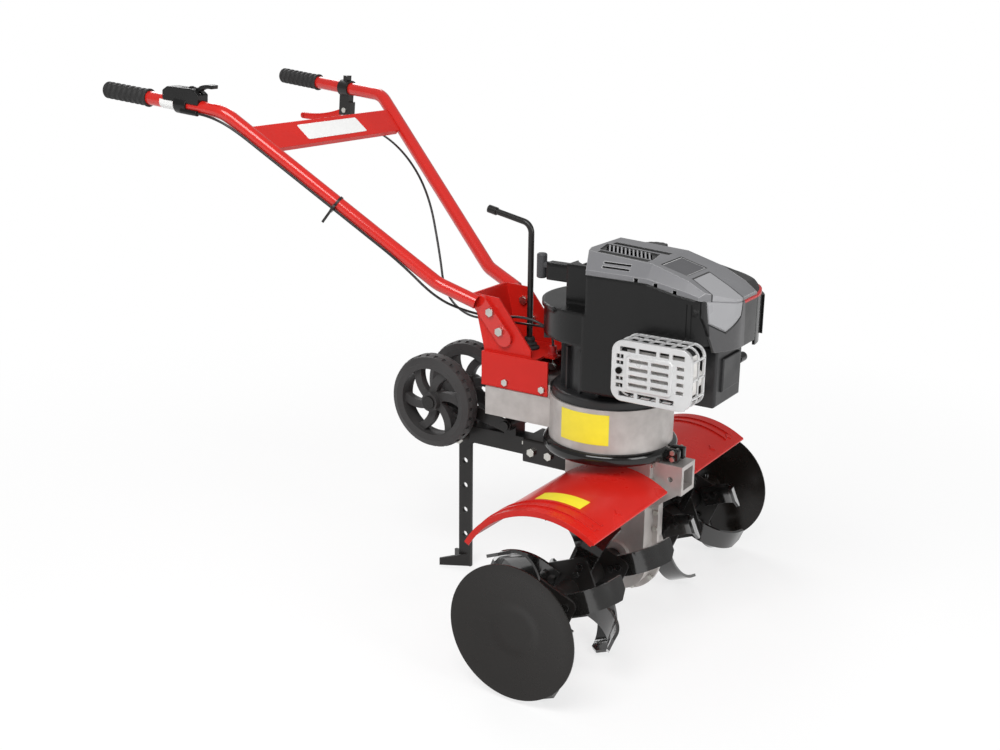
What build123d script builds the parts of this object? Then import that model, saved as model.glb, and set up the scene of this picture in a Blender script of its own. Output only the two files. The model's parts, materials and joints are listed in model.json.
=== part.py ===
from build123d import *
import os
from math import atan2, cos, degrees, hypot, pi, radians, sin, sqrt, tan

# Garden tiller: a walk-behind machine with an upright-shaft engine over a worm gearbox.
# Frame: +X is forward, +Y is to the left and +Z is up, with the ground at z = 0.
# Pieces are drawn with the tine axle at x = 0. The export moves them forward by
# FRAME_SHIFT, so that the origin lies on the ground under the middle of the machine.

# Fits between pieces
RUN = 0.3          # clearance of a turning or sliding piece, on the radius
HOLE = 0.2         # clearance of a bolt or pin in its hole, on the radius

# Tine rotors
WORK_HALF = 425.0        # half the working width, at the rims of the side discs
DISC_R = 126.0
DISC_DISH = 13.0
DISC_T = 3.0
DISC_LIP = 10.0
DISC_SLEEVE_R = 27.0
DISC_SLEEVE_START = 372.0
DISC_PIN_Y = 392.0
SHAFT_R = 12.5
SHAFT_END = 380.0
HUB_R = 21.0
HUB_START = 52.0
FLANGE_YS = (121.0, 217.0, 320.0)
FLANGE_T = 4.0
FLANGE_SIDE = 112.0
HUB_SPLIT = 262.0
HUB_JOINT_GAP = 0.4
TINE_T = 6.0
TINE_W = 42.0
TINE_ROOT_R = 28.0
TINE_STRAIGHT_R = 64.0   # where a tine starts to bend
TINE_BEND_R = 68.0
TINE_BEND = 78.0         # degrees
TINE_TIP = 16.0
TINE_TIP_CUT = 18.0
TINE_LEAN = 22.5         # degrees of the lowest tines from straight down
TINE_BOLT_RS = (38.0, 56.0)
TINE_BOLT_R = 4.0
HUB_PIN_R = 4.0
HUB_PIN_YS = (165.0, 290.0)
PIN_PROUD = 6.0

# Gearbox
WORM_RATIO = 22
GEAR_MODULE = 2.5
WORM_X = -41.0           # the worm, clutch and crankshaft share this upright axis
WHEEL_WIDTH = 12.0
CASE_HALF = 40.0
CASE_WALL = 7.0
CASE_R = 68.0
CASE_RIM = 12.0
CASE_RIM_T = 5.0
BOSS_R = 34.0
BOSS_END = 49.0
NECK_TOP = 214.0         # height above the tine axle
NECK_REAR = -118.0
NECK_FRONT = 60.0
BEARING_R = 26.0
BEARING_T = 15.0
SEAL_R = 20.0
SEAL_T = 8.0
WORM_BEARING_R = 17.5
WORM_BEARING_T = 11.0
WORM_SHAFT_R = 8.5

# Front socket, with heights above the tine axle
SOCKET_FOOT = 112.0
SOCKET_LOW = 150.0
SOCKET_TOP = 208.0
SOCKET_FRONT = 128.0
SOCKET_BORE = 40.0
SOCKET_WALL = 8.0
SOCKET_PLATE = 7.0
SOCKET_BOLT_R = 3.0
SOCKET_BOLT_DEPTH = 14.0
SOCKET_BOLTS = ((34.0, 172.0), (34.0, 202.0))
HITCH_PIN_R = 5.25
HITCH_PIN_X = 104.0

# Clutch bell
BELL_R = 121.0
BELL_WALL = 6.0
BELL_H = 97.0
FLANGE_R = 126.0
FLANGE_H = 9.0
BAND_T = 5.0
BAND_LIP = 3.0
BAND_SLIT = 12.0
TRAY_HALF = 74.0
TRAY_LEDGE = 66.0
TRAY_REAR = -286.0
TRAY_LIFT = 27.0         # heights in this group are above the bell's foot
TRAY_STEP = 85.0
TRAY_TOP = 109.0
TRAY_WALL = 6.0
CONE_R = 86.0
CONE_SLOPE = 12.0 / 14.0
CONE_GAP = 2.2

# Engine, with heights above its mounting face
CRANK_R = 11.0
SUMP_R = 117.0
SUMP_H = 18.0
CASE_BODY_R = 100.0
ENGINE_FRONT = 232.0
ENGINE_REAR = -176.0
ENGINE_RIGHT = -142.0
ENGINE_LEFT = 112.0
SHROUD_BASE = 122.0
SHROUD_TOP = 258.0
COVER_TOP = 299.0
SHROUD_WALL = 4.0
MUFFLER_FACE = -200.0
GRILLE_SLOTS = 12

# Fenders
FENDER_R = 188.0
FENDER_T = 2.0
FENDER_OUT = 326.0
FENDER_FRONT = 57.0      # degrees up from straight ahead
FENDER_REAR = 150.0

# Handlebar
TUBE_R = 14.0
TUBE_WALL = 2.0
GRIP_R = 17.0
GRIP_L = 112.0
HANDLE_END = (-1092.0, 269.0, 989.0)
HANDLE_BEND = (-788.0, 252.0, 961.0)
HANDLE_FOOT = (-388.0, 92.0, 640.0)
HANDLE_TAIL = (-308.0, 74.0, 610.0)
PLATE_HALF = 60.0
BOX_HALF = 70.0
SHEET = 4.0
CROSSBAR_W = 64.0

# Drag bar, spur and transport wheels
CLAMP_FOOT = 145.0       # height above the tine axle where the neck's rear face turns upright
CLAMP_REAR = -217.0
CLAMP_Z = (285.0, 335.0)
BAR_SIDE = 36.0
BAR_WALL = 3.0
BAR_FRONT = -129.0
SPUR_X = -382.0
SPUR_W = 30.0
SPUR_T = 8.0
SPUR_PITCH = 56.0
SPUR_HOLE_R = 6.5
SPUR_TOP = 430.0
WHEEL_R = 98.0
WHEEL_W = 44.0
WHEEL_X = -416.0
WHEEL_Z = 386.0
WHEEL_OUT = 86.0


def cylinder(radius, start, end):
    """A round bar between two points."""
    run = Vector(*end) - Vector(*start)
    plane = Plane(origin=start, z_dir=run)
    return plane * Cylinder(radius, run.length, align=(Align.CENTER, Align.CENTER, Align.MIN))


def box(x, y, z):
    """A block given by its two limits on each axis."""
    size = [limits[1] - limits[0] for limits in (x, y, z)]
    middle = [(limits[0] + limits[1]) / 2 for limits in (x, y, z)]
    return Pos(*middle) * Box(*size)


def side_plate(face, y):
    """A face drawn in X and Z, thickened between two places across the machine."""
    return extrude(Plane.XZ.offset(-y[1]) * face, y[1] - y[0])


def floor_plate(face, z):
    """A face drawn in X and Y, thickened between two heights."""
    return extrude(Plane.XY.offset(z[0]) * face, z[1] - z[0])


def front_plate(face, x):
    """A face drawn in Y and Z, thickened between two places along the machine."""
    return extrude(Plane.YZ.offset(x[0]) * face, x[1] - x[0])


def outline(points, radius=0.0):
    """A face from its corner points, with rounded corners."""
    face = make_face(Polyline(*points, close=True))
    return fillet(face.vertices(), radius) if radius else face


def left_right(shape, side):
    """A piece drawn for the left side, on the side asked for."""
    return shape if side > 0 else mirror(shape, about=Plane.XZ)


def bolt(start, end, radius, nut=True):
    """A hexagon bolt whose head seats at start, with its nut seated at end."""
    run = (Vector(*end) - Vector(*start)).normalized()
    head_r = radius * 1.8
    head_h = radius * 1.3
    head = extrude(Plane(origin=start, z_dir=-run) * RegularPolygon(head_r, 6), head_h)
    shank = cylinder(radius, start, end)
    if not nut:
        return head + shank
    return head + shank + extrude(Plane(origin=end, z_dir=run) * RegularPolygon(head_r, 6), head_h)


def bolt_hole(start, end, radius):
    return cylinder(radius + HOLE, start, end)


def group(solids):
    return Compound(children=list(solids))


# Tine rotors: each side has an inner and an outer hub on the shaft, with four tines on
# each flange, and a dished disc at the end.
def tine_strip():
    """One tine about the axle: it stands up from the flange and bends towards +Y."""
    middle = (TINE_T / 2 + TINE_BEND_R, TINE_STRAIGHT_R)
    outer = CenterArc(middle, TINE_BEND_R + TINE_T / 2, 180, -TINE_BEND)
    inner = CenterArc(middle, TINE_BEND_R - TINE_T / 2, 180, -TINE_BEND)
    turn = radians(TINE_BEND)
    tip = Vector(sin(turn), cos(turn)) * TINE_TIP
    edges = [
        Line((0, TINE_ROOT_R), outer @ 0),
        outer,
        Line(outer @ 1, (outer @ 1) + tip),
        Line((outer @ 1) + tip, (inner @ 1) + tip),
        Line((inner @ 1) + tip, inner @ 1),
        inner,
        Line(inner @ 0, (TINE_T, TINE_ROOT_R)),
        Line((TINE_T, TINE_ROOT_R), (0, TINE_ROOT_R)),
    ]
    strip = front_plate(make_face(edges), (-TINE_W / 2, TINE_W / 2))
    reach = strip.bounding_box().max.Y
    top = strip.bounding_box().max.Z
    trim = outline([
        (-TINE_W / 2, -1),
        (TINE_W / 2, -1),
        (TINE_W / 2, reach - TINE_TIP),
        (TINE_W / 2 - TINE_TIP_CUT, reach + 1),
        (-TINE_W / 2, reach + 1),
    ])
    return strip & floor_plate(trim, (0, top + 1))


def tine_places():
    """For each tine of the left rotor: its flange, its face on that flange and its angle."""
    places = []
    for number, flange in enumerate(FLANGE_YS):
        for quarter in range(4):
            angle = 180 + TINE_LEAN * (1 if number % 2 else -1) + 90 * quarter
            outward = (quarter + number) % 2 == 0
            places.append((flange, outward, angle))
    return places


def tines(axle_z):
    solids = []
    strip = tine_strip()
    holes = [bolt_hole((0, -1, r), (0, TINE_T + 1, r), TINE_BOLT_R) for r in TINE_BOLT_RS]
    strip = strip - holes
    mirrored = mirror(strip, about=Plane.XZ)
    for flange, outward, angle in tine_places():
        face = flange + (FLANGE_T / 2 if outward else -FLANGE_T / 2)
        blade = strip if outward else mirrored
        solids.append(Pos(0, face, axle_z) * Rot(0, angle, 0) * blade)
    return solids


def tine_bolts(axle_z):
    solids = []
    for flange, outward, angle in tine_places():
        near = FLANGE_T / 2
        far = FLANGE_T / 2 + TINE_T
        ends = (-near, far) if outward else (near, -far)
        for r in TINE_BOLT_RS:
            one = bolt((0, ends[0], r), (0, ends[1], r), TINE_BOLT_R)
            solids.append(Pos(0, flange, axle_z) * Rot(0, angle, 0) * one)
    return solids


# The machine stands on its lowest tines.
AXLE_Z = -min(tine.bounding_box().min.Z for tine in tines(0.0))


def axle_cylinder(radius, y):
    return cylinder(radius, (0, y[0], AXLE_Z), (0, y[1], AXLE_Z))


def hub(y, flanges, pin_y):
    """A hub tube with square flanges, drilled for its tines and its pin."""
    body = axle_cylinder(HUB_R, y)
    for flange in flanges:
        number = FLANGE_YS.index(flange)
        turn = 45 + TINE_LEAN * (1 if number % 2 else -1)
        square = RectangleRounded(FLANGE_SIDE, FLANGE_SIDE, 12)
        plate = side_plate(square, (-FLANGE_T / 2, FLANGE_T / 2))
        for quarter in range(4):
            for r in TINE_BOLT_RS:
                hole = bolt_hole((0, -FLANGE_T, r), (0, FLANGE_T, r), TINE_BOLT_R)
                plate -= Rot(0, 45 + 90 * quarter, 0) * hole
        body += Pos(0, flange, AXLE_Z) * Rot(0, turn, 0) * plate
    return body - hub_pin_hole(pin_y)


def hub_pin(y, sleeve_r):
    reach = sleeve_r + PIN_PROUD
    return cylinder(HUB_PIN_R, (0, y, AXLE_Z - reach), (0, y, AXLE_Z + reach))


def hub_pin_hole(y):
    reach = DISC_SLEEVE_R + 1
    return bolt_hole((0, y, AXLE_Z - reach), (0, y, AXLE_Z + reach), HUB_PIN_R)


def inner_hub():
    body = hub((HUB_START, HUB_SPLIT), FLANGE_YS[:2], HUB_PIN_YS[0])
    return body - axle_cylinder(SHAFT_R + HOLE, (HUB_START - 1, HUB_SPLIT + 1))


def outer_hub():
    start = HUB_SPLIT + HUB_JOINT_GAP
    end = WORK_HALF - DISC_DISH - DISC_T
    body = hub((start, end), FLANGE_YS[2:], HUB_PIN_YS[1])
    body -= axle_cylinder(SHAFT_R + HOLE, (start - 1, SHAFT_END + 1))
    return body - hub_pin_hole(DISC_PIN_Y)


def side_disc():
    """A disc dished like a bowl, with a turned rim and a sleeve over the end of the hub."""
    flat = WORK_HALF - DISC_DISH
    bowl_r = DISC_R - DISC_LIP
    rise = DISC_DISH - 1
    outer = ThreePointArc((0, flat), (bowl_r / 2, flat + rise / 4), (bowl_r, flat + rise))
    inner = Pos(0, -DISC_T) * outer
    section = make_face([
        outer,
        Line(outer @ 1, (DISC_R, WORK_HALF)),
        Line((DISC_R, WORK_HALF), (DISC_R, WORK_HALF - DISC_T)),
        Line((DISC_R, WORK_HALF - DISC_T), inner @ 1),
        inner,
        Line(inner @ 0, outer @ 0),
    ])
    middle = flat - DISC_T / 2
    sleeve = axle_cylinder(DISC_SLEEVE_R, (DISC_SLEEVE_START, middle))
    sleeve -= axle_cylinder(HUB_R + HOLE, (DISC_SLEEVE_START - 1, middle))
    return Pos(0, 0, AXLE_Z) * revolve(section, Axis.Y) + sleeve - hub_pin_hole(DISC_PIN_Y)


def tine_shaft():
    body = axle_cylinder(SHAFT_R, (-SHAFT_END, SHAFT_END))
    for y in HUB_PIN_YS:
        body -= [hub_pin_hole(y), hub_pin_hole(-y)]
    return body


# Gearbox: a case in two halves, split down the middle, round a worm and a worm wheel.
NECK_SOLID = 165.0         # above this height the neck is solid round the worm bearing
WORM_BLOCK_R = 24.0
SUMP_HALF = 27.0
SUMP_DEPTH = 62.0
WORM_FOOT = -55.0          # the lower end of the worm shaft, from the tine axle
WORM_SHAFT_TOP = 252.0
WORM_TURNS = 6
WHEEL_HUB_R = 18.0
WHEEL_HUB_HALF = 15.0
TOOTH_SLACK = 0.42         # taken off each flank of the worm and the wheel
TOOTH_FLANK = tan(radians(20))
CASE_BOLT_R = 3.0
FENDER_BOLTS = ((15.0, 178.0), (-74.0, 162.0))
FENDER_BOLT_R = 4.0
FENDER_BOLT_DEPTH = 6.0
FLANGE_Z = AXLE_Z + NECK_TOP
BELL_Z = FLANGE_Z + FLANGE_H


def case_outline():
    neck = outline([
        (NECK_REAR, CLAMP_FOOT),
        (NECK_REAR, NECK_TOP + 1),
        (NECK_FRONT, NECK_TOP + 1),
        (NECK_FRONT, 0),
        (-CASE_R + 2, 0),
    ])
    sump = Pos(WORM_X, -SUMP_DEPTH / 2) * Rectangle(2 * SUMP_HALF, SUMP_DEPTH)
    return Circle(CASE_R) + neck + sump


def case_bolt_places():
    """Middles of the bolts in the rim, round the case."""
    gap = CASE_RIM - 5
    front = NECK_FRONT + gap
    slope = (NECK_REAR + CASE_R - 2) / CLAMP_FOOT
    rear = -CASE_R + 2 - gap
    round_part = [(CASE_R + gap) * Vector(cos(radians(a)), sin(radians(a))) for a in (-72, -35, 2)]
    places = [(v.X, v.Y) for v in round_part]
    places += [(front, z) for z in (62, 95)]
    places += [(rear + slope * z, z) for z in (60, 110)]
    places += [(WORM_X - SUMP_HALF - gap, -28), (WORM_X, -SUMP_DEPTH - gap)]
    return places


def worm_cylinder(radius, z):
    """A cylinder about the worm and crank axis, with heights from the tine axle."""
    return cylinder(radius, (WORM_X, 0, AXLE_Z + z[0]), (WORM_X, 0, AXLE_Z + z[1]))


def case_left():
    shape = case_outline()
    lift = Pos(0, 0, AXLE_Z)
    body = lift * side_plate(shape, (0, CASE_HALF))
    body += lift * side_plate(offset(shape, CASE_RIM), (0, CASE_RIM_T))
    body += axle_cylinder(BOSS_R, (CASE_HALF, BOSS_END))
    body &= box((-200, 200), (0, BOSS_END), (0, FLANGE_Z))
    below_neck = Pos(0, NECK_SOLID - 200) * Rectangle(400, 400)
    room = offset(shape, -CASE_WALL) & below_neck
    body -= lift * side_plate(room, (-1, CASE_HALF - CASE_WALL))
    body += axle_cylinder(BOSS_R, (CASE_HALF - BEARING_T - 3, CASE_HALF))
    block = worm_cylinder(WORM_BLOCK_R, (-SUMP_DEPTH, WORM_FOOT + WORM_BEARING_T))
    body += block & box((-200, 200), (0, CASE_HALF), (0, FLANGE_Z))
    flange = worm_cylinder(FLANGE_R, (NECK_TOP, NECK_TOP + FLANGE_H))
    body += flange & box((-200, 200), (0, 200), (0, BELL_Z))
    seat = CASE_HALF + 2
    body -= axle_cylinder(BEARING_R, (0, seat))
    body -= axle_cylinder(SEAL_R, (0, BOSS_END + 1))
    body -= worm_cylinder(WORM_BEARING_R, (WORM_FOOT, WORM_FOOT + WORM_BEARING_T + 1))
    body -= worm_cylinder(WORM_BEARING_R, (NECK_SOLID - 1, NECK_SOLID + WORM_BEARING_T))
    body -= worm_cylinder(WORM_SHAFT_R + 2, (0, NECK_TOP + FLANGE_H + 1))
    for x, z in case_bolt_places():
        body -= bolt_hole((x, -1, AXLE_Z + z), (x, CASE_RIM_T + 1, AXLE_Z + z), CASE_BOLT_R)
    deep = CASE_HALF - FENDER_BOLT_DEPTH - HOLE
    for x, z in FENDER_BOLTS:
        body -= bolt_hole((x, deep, AXLE_Z + z), (x, CASE_HALF + 1, AXLE_Z + z), FENDER_BOLT_R)
    width = (0, CASE_HALF)
    notch = box((NECK_FRONT, NECK_FRONT + CASE_RIM + 1), width, (AXLE_Z + SOCKET_FOOT - 1, FLANGE_Z))
    notch += box((NECK_REAR - CASE_RIM - 1, NECK_REAR), width, (AXLE_Z + CLAMP_FOOT, FLANGE_Z))
    return body - notch - socket_bolt_holes()


def gearbox_half(side):
    """One half of the case, with the hole of its own clamp bolt."""
    return left_right(case_left(), side) - clamp_bolt_holes()


def case_bolts():
    solids = []
    for x, z in case_bolt_places():
        solids.append(bolt((x, -CASE_RIM_T, AXLE_Z + z), (x, CASE_RIM_T, AXLE_Z + z), CASE_BOLT_R))
    return solids


def wheel_profile():
    """The toothed outline of the worm wheel, with a gap facing the worm."""
    pitch_r = GEAR_MODULE * WORM_RATIO / 2
    quarter_pitch = pi * GEAR_MODULE / 4
    slack = TOOTH_SLACK
    flank = TOOTH_FLANK
    rows = [
        (pitch_r - 1.25 * GEAR_MODULE, quarter_pitch - slack + 0.9 * GEAR_MODULE * flank),
        (pitch_r, quarter_pitch - slack),
        (pitch_r + 0.85 * GEAR_MODULE, quarter_pitch - slack - GEAR_MODULE * flank),
    ]
    points = []
    for tooth in range(WORM_RATIO):
        middle = pi + 2 * pi * (tooth + 0.5) / WORM_RATIO
        for r, half in rows:
            points.append((r, middle - half / r))
        for r, half in reversed(rows):
            points.append((r, middle + half / r))
    return outline([(r * cos(a), r * sin(a)) for r, a in points])


def worm_wheel():
    """The bronze wheel: teeth that follow the worm's lead, a hub and a bore for the shaft."""
    pitch_r = GEAR_MODULE * WORM_RATIO / 2
    worm_r = -WORM_X - pitch_r
    lead = GEAR_MODULE / (2 * worm_r)
    turn = degrees(lead * WHEEL_WIDTH / 2 / pitch_r)
    face = wheel_profile()
    ends = [Rot(0, k * turn, 0) * (Plane.XZ.offset(-k * WHEEL_WIDTH / 2) * face) for k in (-1, 1)]
    body = Pos(0, 0, AXLE_Z) * loft(ends, ruled=True)
    body += axle_cylinder(WHEEL_HUB_R, (-WHEEL_HUB_HALF, WHEEL_HUB_HALF))
    return body - axle_cylinder(SHAFT_R + HOLE / 4, (-WHEEL_HUB_HALF - 1, WHEEL_HUB_HALF + 1))


def worm_shaft():
    """The upright shaft with its single-start worm and the seat for the clutch cone."""
    worm_r = -WORM_X - GEAR_MODULE * WORM_RATIO / 2
    pitch = pi * GEAR_MODULE
    root = worm_r - 1.2 * GEAR_MODULE
    half = pitch / 4 - TOOTH_SLACK
    flank = TOOTH_FLANK
    half_length = WORM_TURNS * pitch / 2
    tip = worm_r + 0.85 * GEAR_MODULE
    sunk = root - 0.8
    section = outline([
        (sunk, -half - (worm_r - sunk) * flank),
        (sunk, half + (worm_r - sunk) * flank),
        (tip, half - (tip - worm_r) * flank),
        (tip, -half + (tip - worm_r) * flank),
    ])
    helix = Helix(pitch, 2 * half_length, worm_r)
    thread = sweep(Plane.XZ * section, path=helix, is_frenet=True)
    thread = Pos(WORM_X, 0, AXLE_Z - half_length) * thread
    core = worm_cylinder(root, (-half_length - 3, half_length + 3))
    shaft = worm_cylinder(WORM_SHAFT_R, (WORM_FOOT + 1, WORM_SHAFT_TOP))
    return core + thread + shaft


def bearing(outside, inside, start, end):
    """A sealed bearing drawn as one ring with a groove between its races on each face."""
    ring = cylinder(outside, start, end) - cylinder(inside, start, end)
    middle = (outside + inside) / 2
    width = (outside - inside) / 6
    run = (Vector(*end) - Vector(*start)).normalized()
    for point, way in ((start, run), (end, -run)):
        inner_end = Vector(*point) + way * 1.2
        groove = cylinder(middle + width, point, tuple(inner_end))
        ring -= groove - cylinder(middle - width, point, tuple(inner_end))
    return ring


def shaft_bearings():
    start = CASE_HALF + 2 - BEARING_T
    solids = []
    for side in (1, -1):
        ends = [(0, side * y, AXLE_Z) for y in (start, start + BEARING_T)]
        solids.append(bearing(BEARING_R - HOLE / 4, SHAFT_R + HOLE / 4, *ends))
    return solids


def shaft_seals():
    start = CASE_HALF + 2 + 0.3
    solids = []
    for side in (1, -1):
        ends = [(0, side * y, AXLE_Z) for y in (start, start + SEAL_T - 2)]
        solids.append(cylinder(SEAL_R - HOLE / 4, *ends) - cylinder(SHAFT_R + HOLE, *ends))
    return solids


def worm_bearings():
    solids = []
    for z in (WORM_FOOT, NECK_SOLID):
        ends = [(WORM_X, 0, AXLE_Z + h) for h in (z, z + WORM_BEARING_T)]
        solids.append(bearing(WORM_BEARING_R - HOLE / 4, WORM_SHAFT_R + HOLE / 4, *ends))
    return solids


# Front socket: a cast box bolted to the neck, for a square bar that a hitch pin holds.
def socket_bolt_places():
    return [(side * y, AXLE_Z + z) for side in (1, -1) for y, z in SOCKET_BOLTS]


def socket_bolt_holes():
    deep = NECK_FRONT - SOCKET_BOLT_DEPTH - HOLE
    far = NECK_FRONT + SOCKET_PLATE + 1
    return [bolt_hole((deep, y, z), (far, y, z), SOCKET_BOLT_R) for y, z in socket_bolt_places()]


def socket_middle_z():
    return AXLE_Z + (SOCKET_LOW + SOCKET_TOP) / 2


def front_socket():
    half = SOCKET_BORE / 2 + SOCKET_WALL
    front = NECK_FRONT + SOCKET_PLATE
    plate = box((NECK_FRONT, front), (-CASE_HALF, CASE_HALF), (AXLE_Z + SOCKET_LOW, AXLE_Z + SOCKET_TOP))
    plate += box((NECK_FRONT, front), (-half, half), (AXLE_Z + SOCKET_FOOT, AXLE_Z + SOCKET_LOW))
    body = plate + box((front, SOCKET_FRONT), (-half, half), (AXLE_Z + SOCKET_LOW, AXLE_Z + SOCKET_TOP))
    rib = outline([
        (NECK_FRONT, SOCKET_LOW),
        (SOCKET_FRONT - SOCKET_WALL, SOCKET_LOW),
        (front, SOCKET_FOOT),
        (NECK_FRONT, SOCKET_FOOT),
    ])
    for side in (1, -1):
        inner = side * (half - SOCKET_WALL)
        limits = sorted((inner, side * half))
        body += Pos(0, 0, AXLE_Z) * side_plate(rib, limits)
    middle = socket_middle_z()
    reach = SOCKET_BORE / 2
    body -= box((front, SOCKET_FRONT + 1), (-reach, reach), (middle - reach, middle + reach))
    body -= cylinder(HITCH_PIN_R, (HITCH_PIN_X, -half - 1, middle), (HITCH_PIN_X, half + 1, middle))
    return body - socket_bolt_holes()


def socket_bolts():
    head = NECK_FRONT + SOCKET_PLATE
    deep = NECK_FRONT - SOCKET_BOLT_DEPTH
    return [bolt((head, y, z), (deep, y, z), SOCKET_BOLT_R, nut=False) for y, z in socket_bolt_places()]


# Clutch bell: a round casting that carries the engine, with a tray behind it for the handlebar.
ENGINE_Z = BELL_Z + BELL_H
BELL_MOUTH = 40.0
ARM_PIVOT = (-226.0, 490.0)
ARM_TIP_X = -164.0
ARM_PIN_R = 4.0
ARM_EAR_T = 6.0
ARM_T = 6.0
ARM_Y = -20.0
BOX_BOLTS = ((-242.0, 456.0), (-157.0, 456.0))
BOX_BOLT_R = 4.0
BOX_BOLT_DEPTH = 14.0


def bell_cylinder(radius, z):
    """A cylinder about the crank axis, with heights from the bell's foot."""
    return cylinder(radius, (WORM_X, 0, BELL_Z + z[0]), (WORM_X, 0, BELL_Z + z[1]))


def arm_ears():
    """Two ears on the tray that carry the clutch arm's pin."""
    ears = []
    x, z = ARM_PIVOT
    base = BELL_Z + TRAY_TOP
    gap = ARM_T / 2 + RUN
    for side in (1, -1):
        limits = sorted((ARM_Y + side * gap, ARM_Y + side * (gap + ARM_EAR_T)))
        ear = box((x - 10, x + 10), limits, (base, z)) + cylinder(10, (x, limits[0], z), (x, limits[1], z))
        ears.append(ear)
    return ears


def arm_pin_hole():
    x, z = ARM_PIVOT
    reach = ARM_T + ARM_EAR_T
    return bolt_hole((x, ARM_Y - reach, z), (x, ARM_Y + reach, z), ARM_PIN_R)


def clutch_bell():
    body = bell_cylinder(BELL_R, (0, BELL_H)) + bell_cylinder(FLANGE_R, (0, FLANGE_H))
    low = BELL_Z + TRAY_LIFT
    step = BELL_Z + TRAY_STEP
    top = BELL_Z + TRAY_TOP
    tray = box((TRAY_REAR, WORM_X), (-TRAY_HALF, TRAY_HALF), (low, step))
    tray += box((TRAY_REAR, WORM_X), (-TRAY_LEDGE, TRAY_LEDGE), (step, top))
    tray -= bell_cylinder(SUMP_R + 3, (BELL_H, TRAY_TOP + 1))
    hollow = TRAY_HALF - TRAY_WALL
    room = box((TRAY_REAR + TRAY_WALL, WORM_X), (-hollow, hollow), (low - 1, step - TRAY_WALL))
    body += tray - (room - bell_cylinder(BELL_R, (0, BELL_H)))
    body += arm_ears()
    body -= bell_cylinder(BELL_R - BELL_WALL, (-1, BELL_H - BELL_WALL))
    body -= bell_cylinder(BELL_MOUTH, (0, BELL_H + 1))
    return body - box_bolt_holes() - arm_pin_hole() - rod_hole()


def box_bolt_places():
    return [(x, side, z) for x, z in BOX_BOLTS for side in (1, -1)]


def box_bolt_holes():
    deep = TRAY_LEDGE - BOX_BOLT_DEPTH - HOLE
    far = BOX_HALF + 1
    return [bolt_hole((x, s * deep, z), (x, s * far, z), BOX_BOLT_R) for x, s, z in box_bolt_places()]


def box_bolts():
    deep = TRAY_LEDGE - BOX_BOLT_DEPTH
    return [
        bolt((x, s * BOX_HALF, z), (x, s * deep, z), BOX_BOLT_R, nut=False)
        for x, s, z in box_bolt_places()
    ]


# Clamp band: a split ring with lips that draws the bell's foot onto the gearbox flange.
LUG_X = (86.0, 114.0)
LUG_Y = (6.0, 18.0)
BAND_BOLT_R = 3.0
BAND_BOLT_X = 102.0
BAND_BOLT_SPAN = 6.5
BAND_LOW = FLANGE_Z - BAND_LIP
BAND_TOP = BELL_Z + FLANGE_H + BAND_LIP


def band_bolt_heights():
    middle = (BAND_LOW + BAND_TOP) / 2
    return [middle - BAND_BOLT_SPAN, middle + BAND_BOLT_SPAN]


def clamp_band():
    outer = FLANGE_R + RUN + BAND_T
    ring = cylinder(outer, (WORM_X, 0, BAND_LOW), (WORM_X, 0, BAND_TOP))
    for side in (1, -1):
        ring += box(LUG_X, sorted((side * LUG_Y[0], side * LUG_Y[1])), (BAND_LOW, BAND_TOP))
    ring -= cylinder(FLANGE_R + RUN, (WORM_X, 0, FLANGE_Z), (WORM_X, 0, BELL_Z + FLANGE_H))
    ring -= cylinder(BELL_R + RUN, (WORM_X, 0, BAND_LOW - 1), (WORM_X, 0, BAND_TOP + 1))
    ring -= box((0, LUG_X[1] + 1), (-BAND_SLIT / 2, BAND_SLIT / 2), (BAND_LOW - 1, BAND_TOP + 1))
    for z in band_bolt_heights():
        ring -= bolt_hole((BAND_BOLT_X, -20, z), (BAND_BOLT_X, 20, z), BAND_BOLT_R)
    return ring


def band_bolts():
    y = LUG_Y[1]
    return [bolt((BAND_BOLT_X, -y, z), (BAND_BOLT_X, y, z), BAND_BOLT_R) for z in band_bolt_heights()]


# Cone clutch: the driven cone slides up the worm shaft into the cup on the crankshaft.
CONE_FOOT = 226.0          # heights in this group are above the tine axle
CONE_HUB_R = 22.0
CONE_FACE = (6.0, 20.0)    # heights of the cone's face above its foot
CONE_WEB = 13.0
CUP_WALL = 9.0
CUP_HUB_R = 28.0
CUP_HUB_H = 20.0
CONE_TOP = 250.0
CRANK_END = 252.8


def revolved_about_worm(points):
    """A solid turned about the worm axis from points of radius and height above the tine axle."""
    section = Plane.XZ * outline(points)
    return Pos(WORM_X, 0, AXLE_Z) * revolve(section, Axis.Z)


def driven_cone():
    bore = WORM_SHAFT_R + HOLE / 4
    low, high = CONE_FOOT + CONE_FACE[0], CONE_FOOT + CONE_FACE[1]
    web = CONE_FOOT + CONE_WEB
    rim = CONE_R - (high - low) * CONE_SLOPE
    return revolved_about_worm([
        (bore, CONE_FOOT),
        (CONE_HUB_R, CONE_FOOT),
        (CONE_HUB_R, low),
        (CONE_R, low),
        (rim, high),
        (rim - 10, high),
        (rim - 10, web),
        (CONE_HUB_R, web),
        (CONE_HUB_R, CONE_TOP - 1),
        (bore, CONE_TOP - 1),
    ])


def driver_cup():
    bore = CRANK_R + HOLE / 4
    face = CONE_FOOT + CONE_FACE[0]
    low = face + 2
    inner_low = CONE_R + CONE_GAP - (low - face) * CONE_SLOPE
    inner_top = CONE_R + CONE_GAP - (CRANK_END - face) * CONE_SLOPE
    outer = inner_low + CUP_WALL
    return revolved_about_worm([
        (bore, CRANK_END),
        (inner_top, CRANK_END),
        (inner_low, low),
        (outer, low),
        (outer, CRANK_END + CUP_WALL),
        (CUP_HUB_R, CRANK_END + CUP_WALL),
        (CUP_HUB_R, CRANK_END + CUP_HUB_H),
        (bore, CRANK_END + CUP_HUB_H),
    ])


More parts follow.
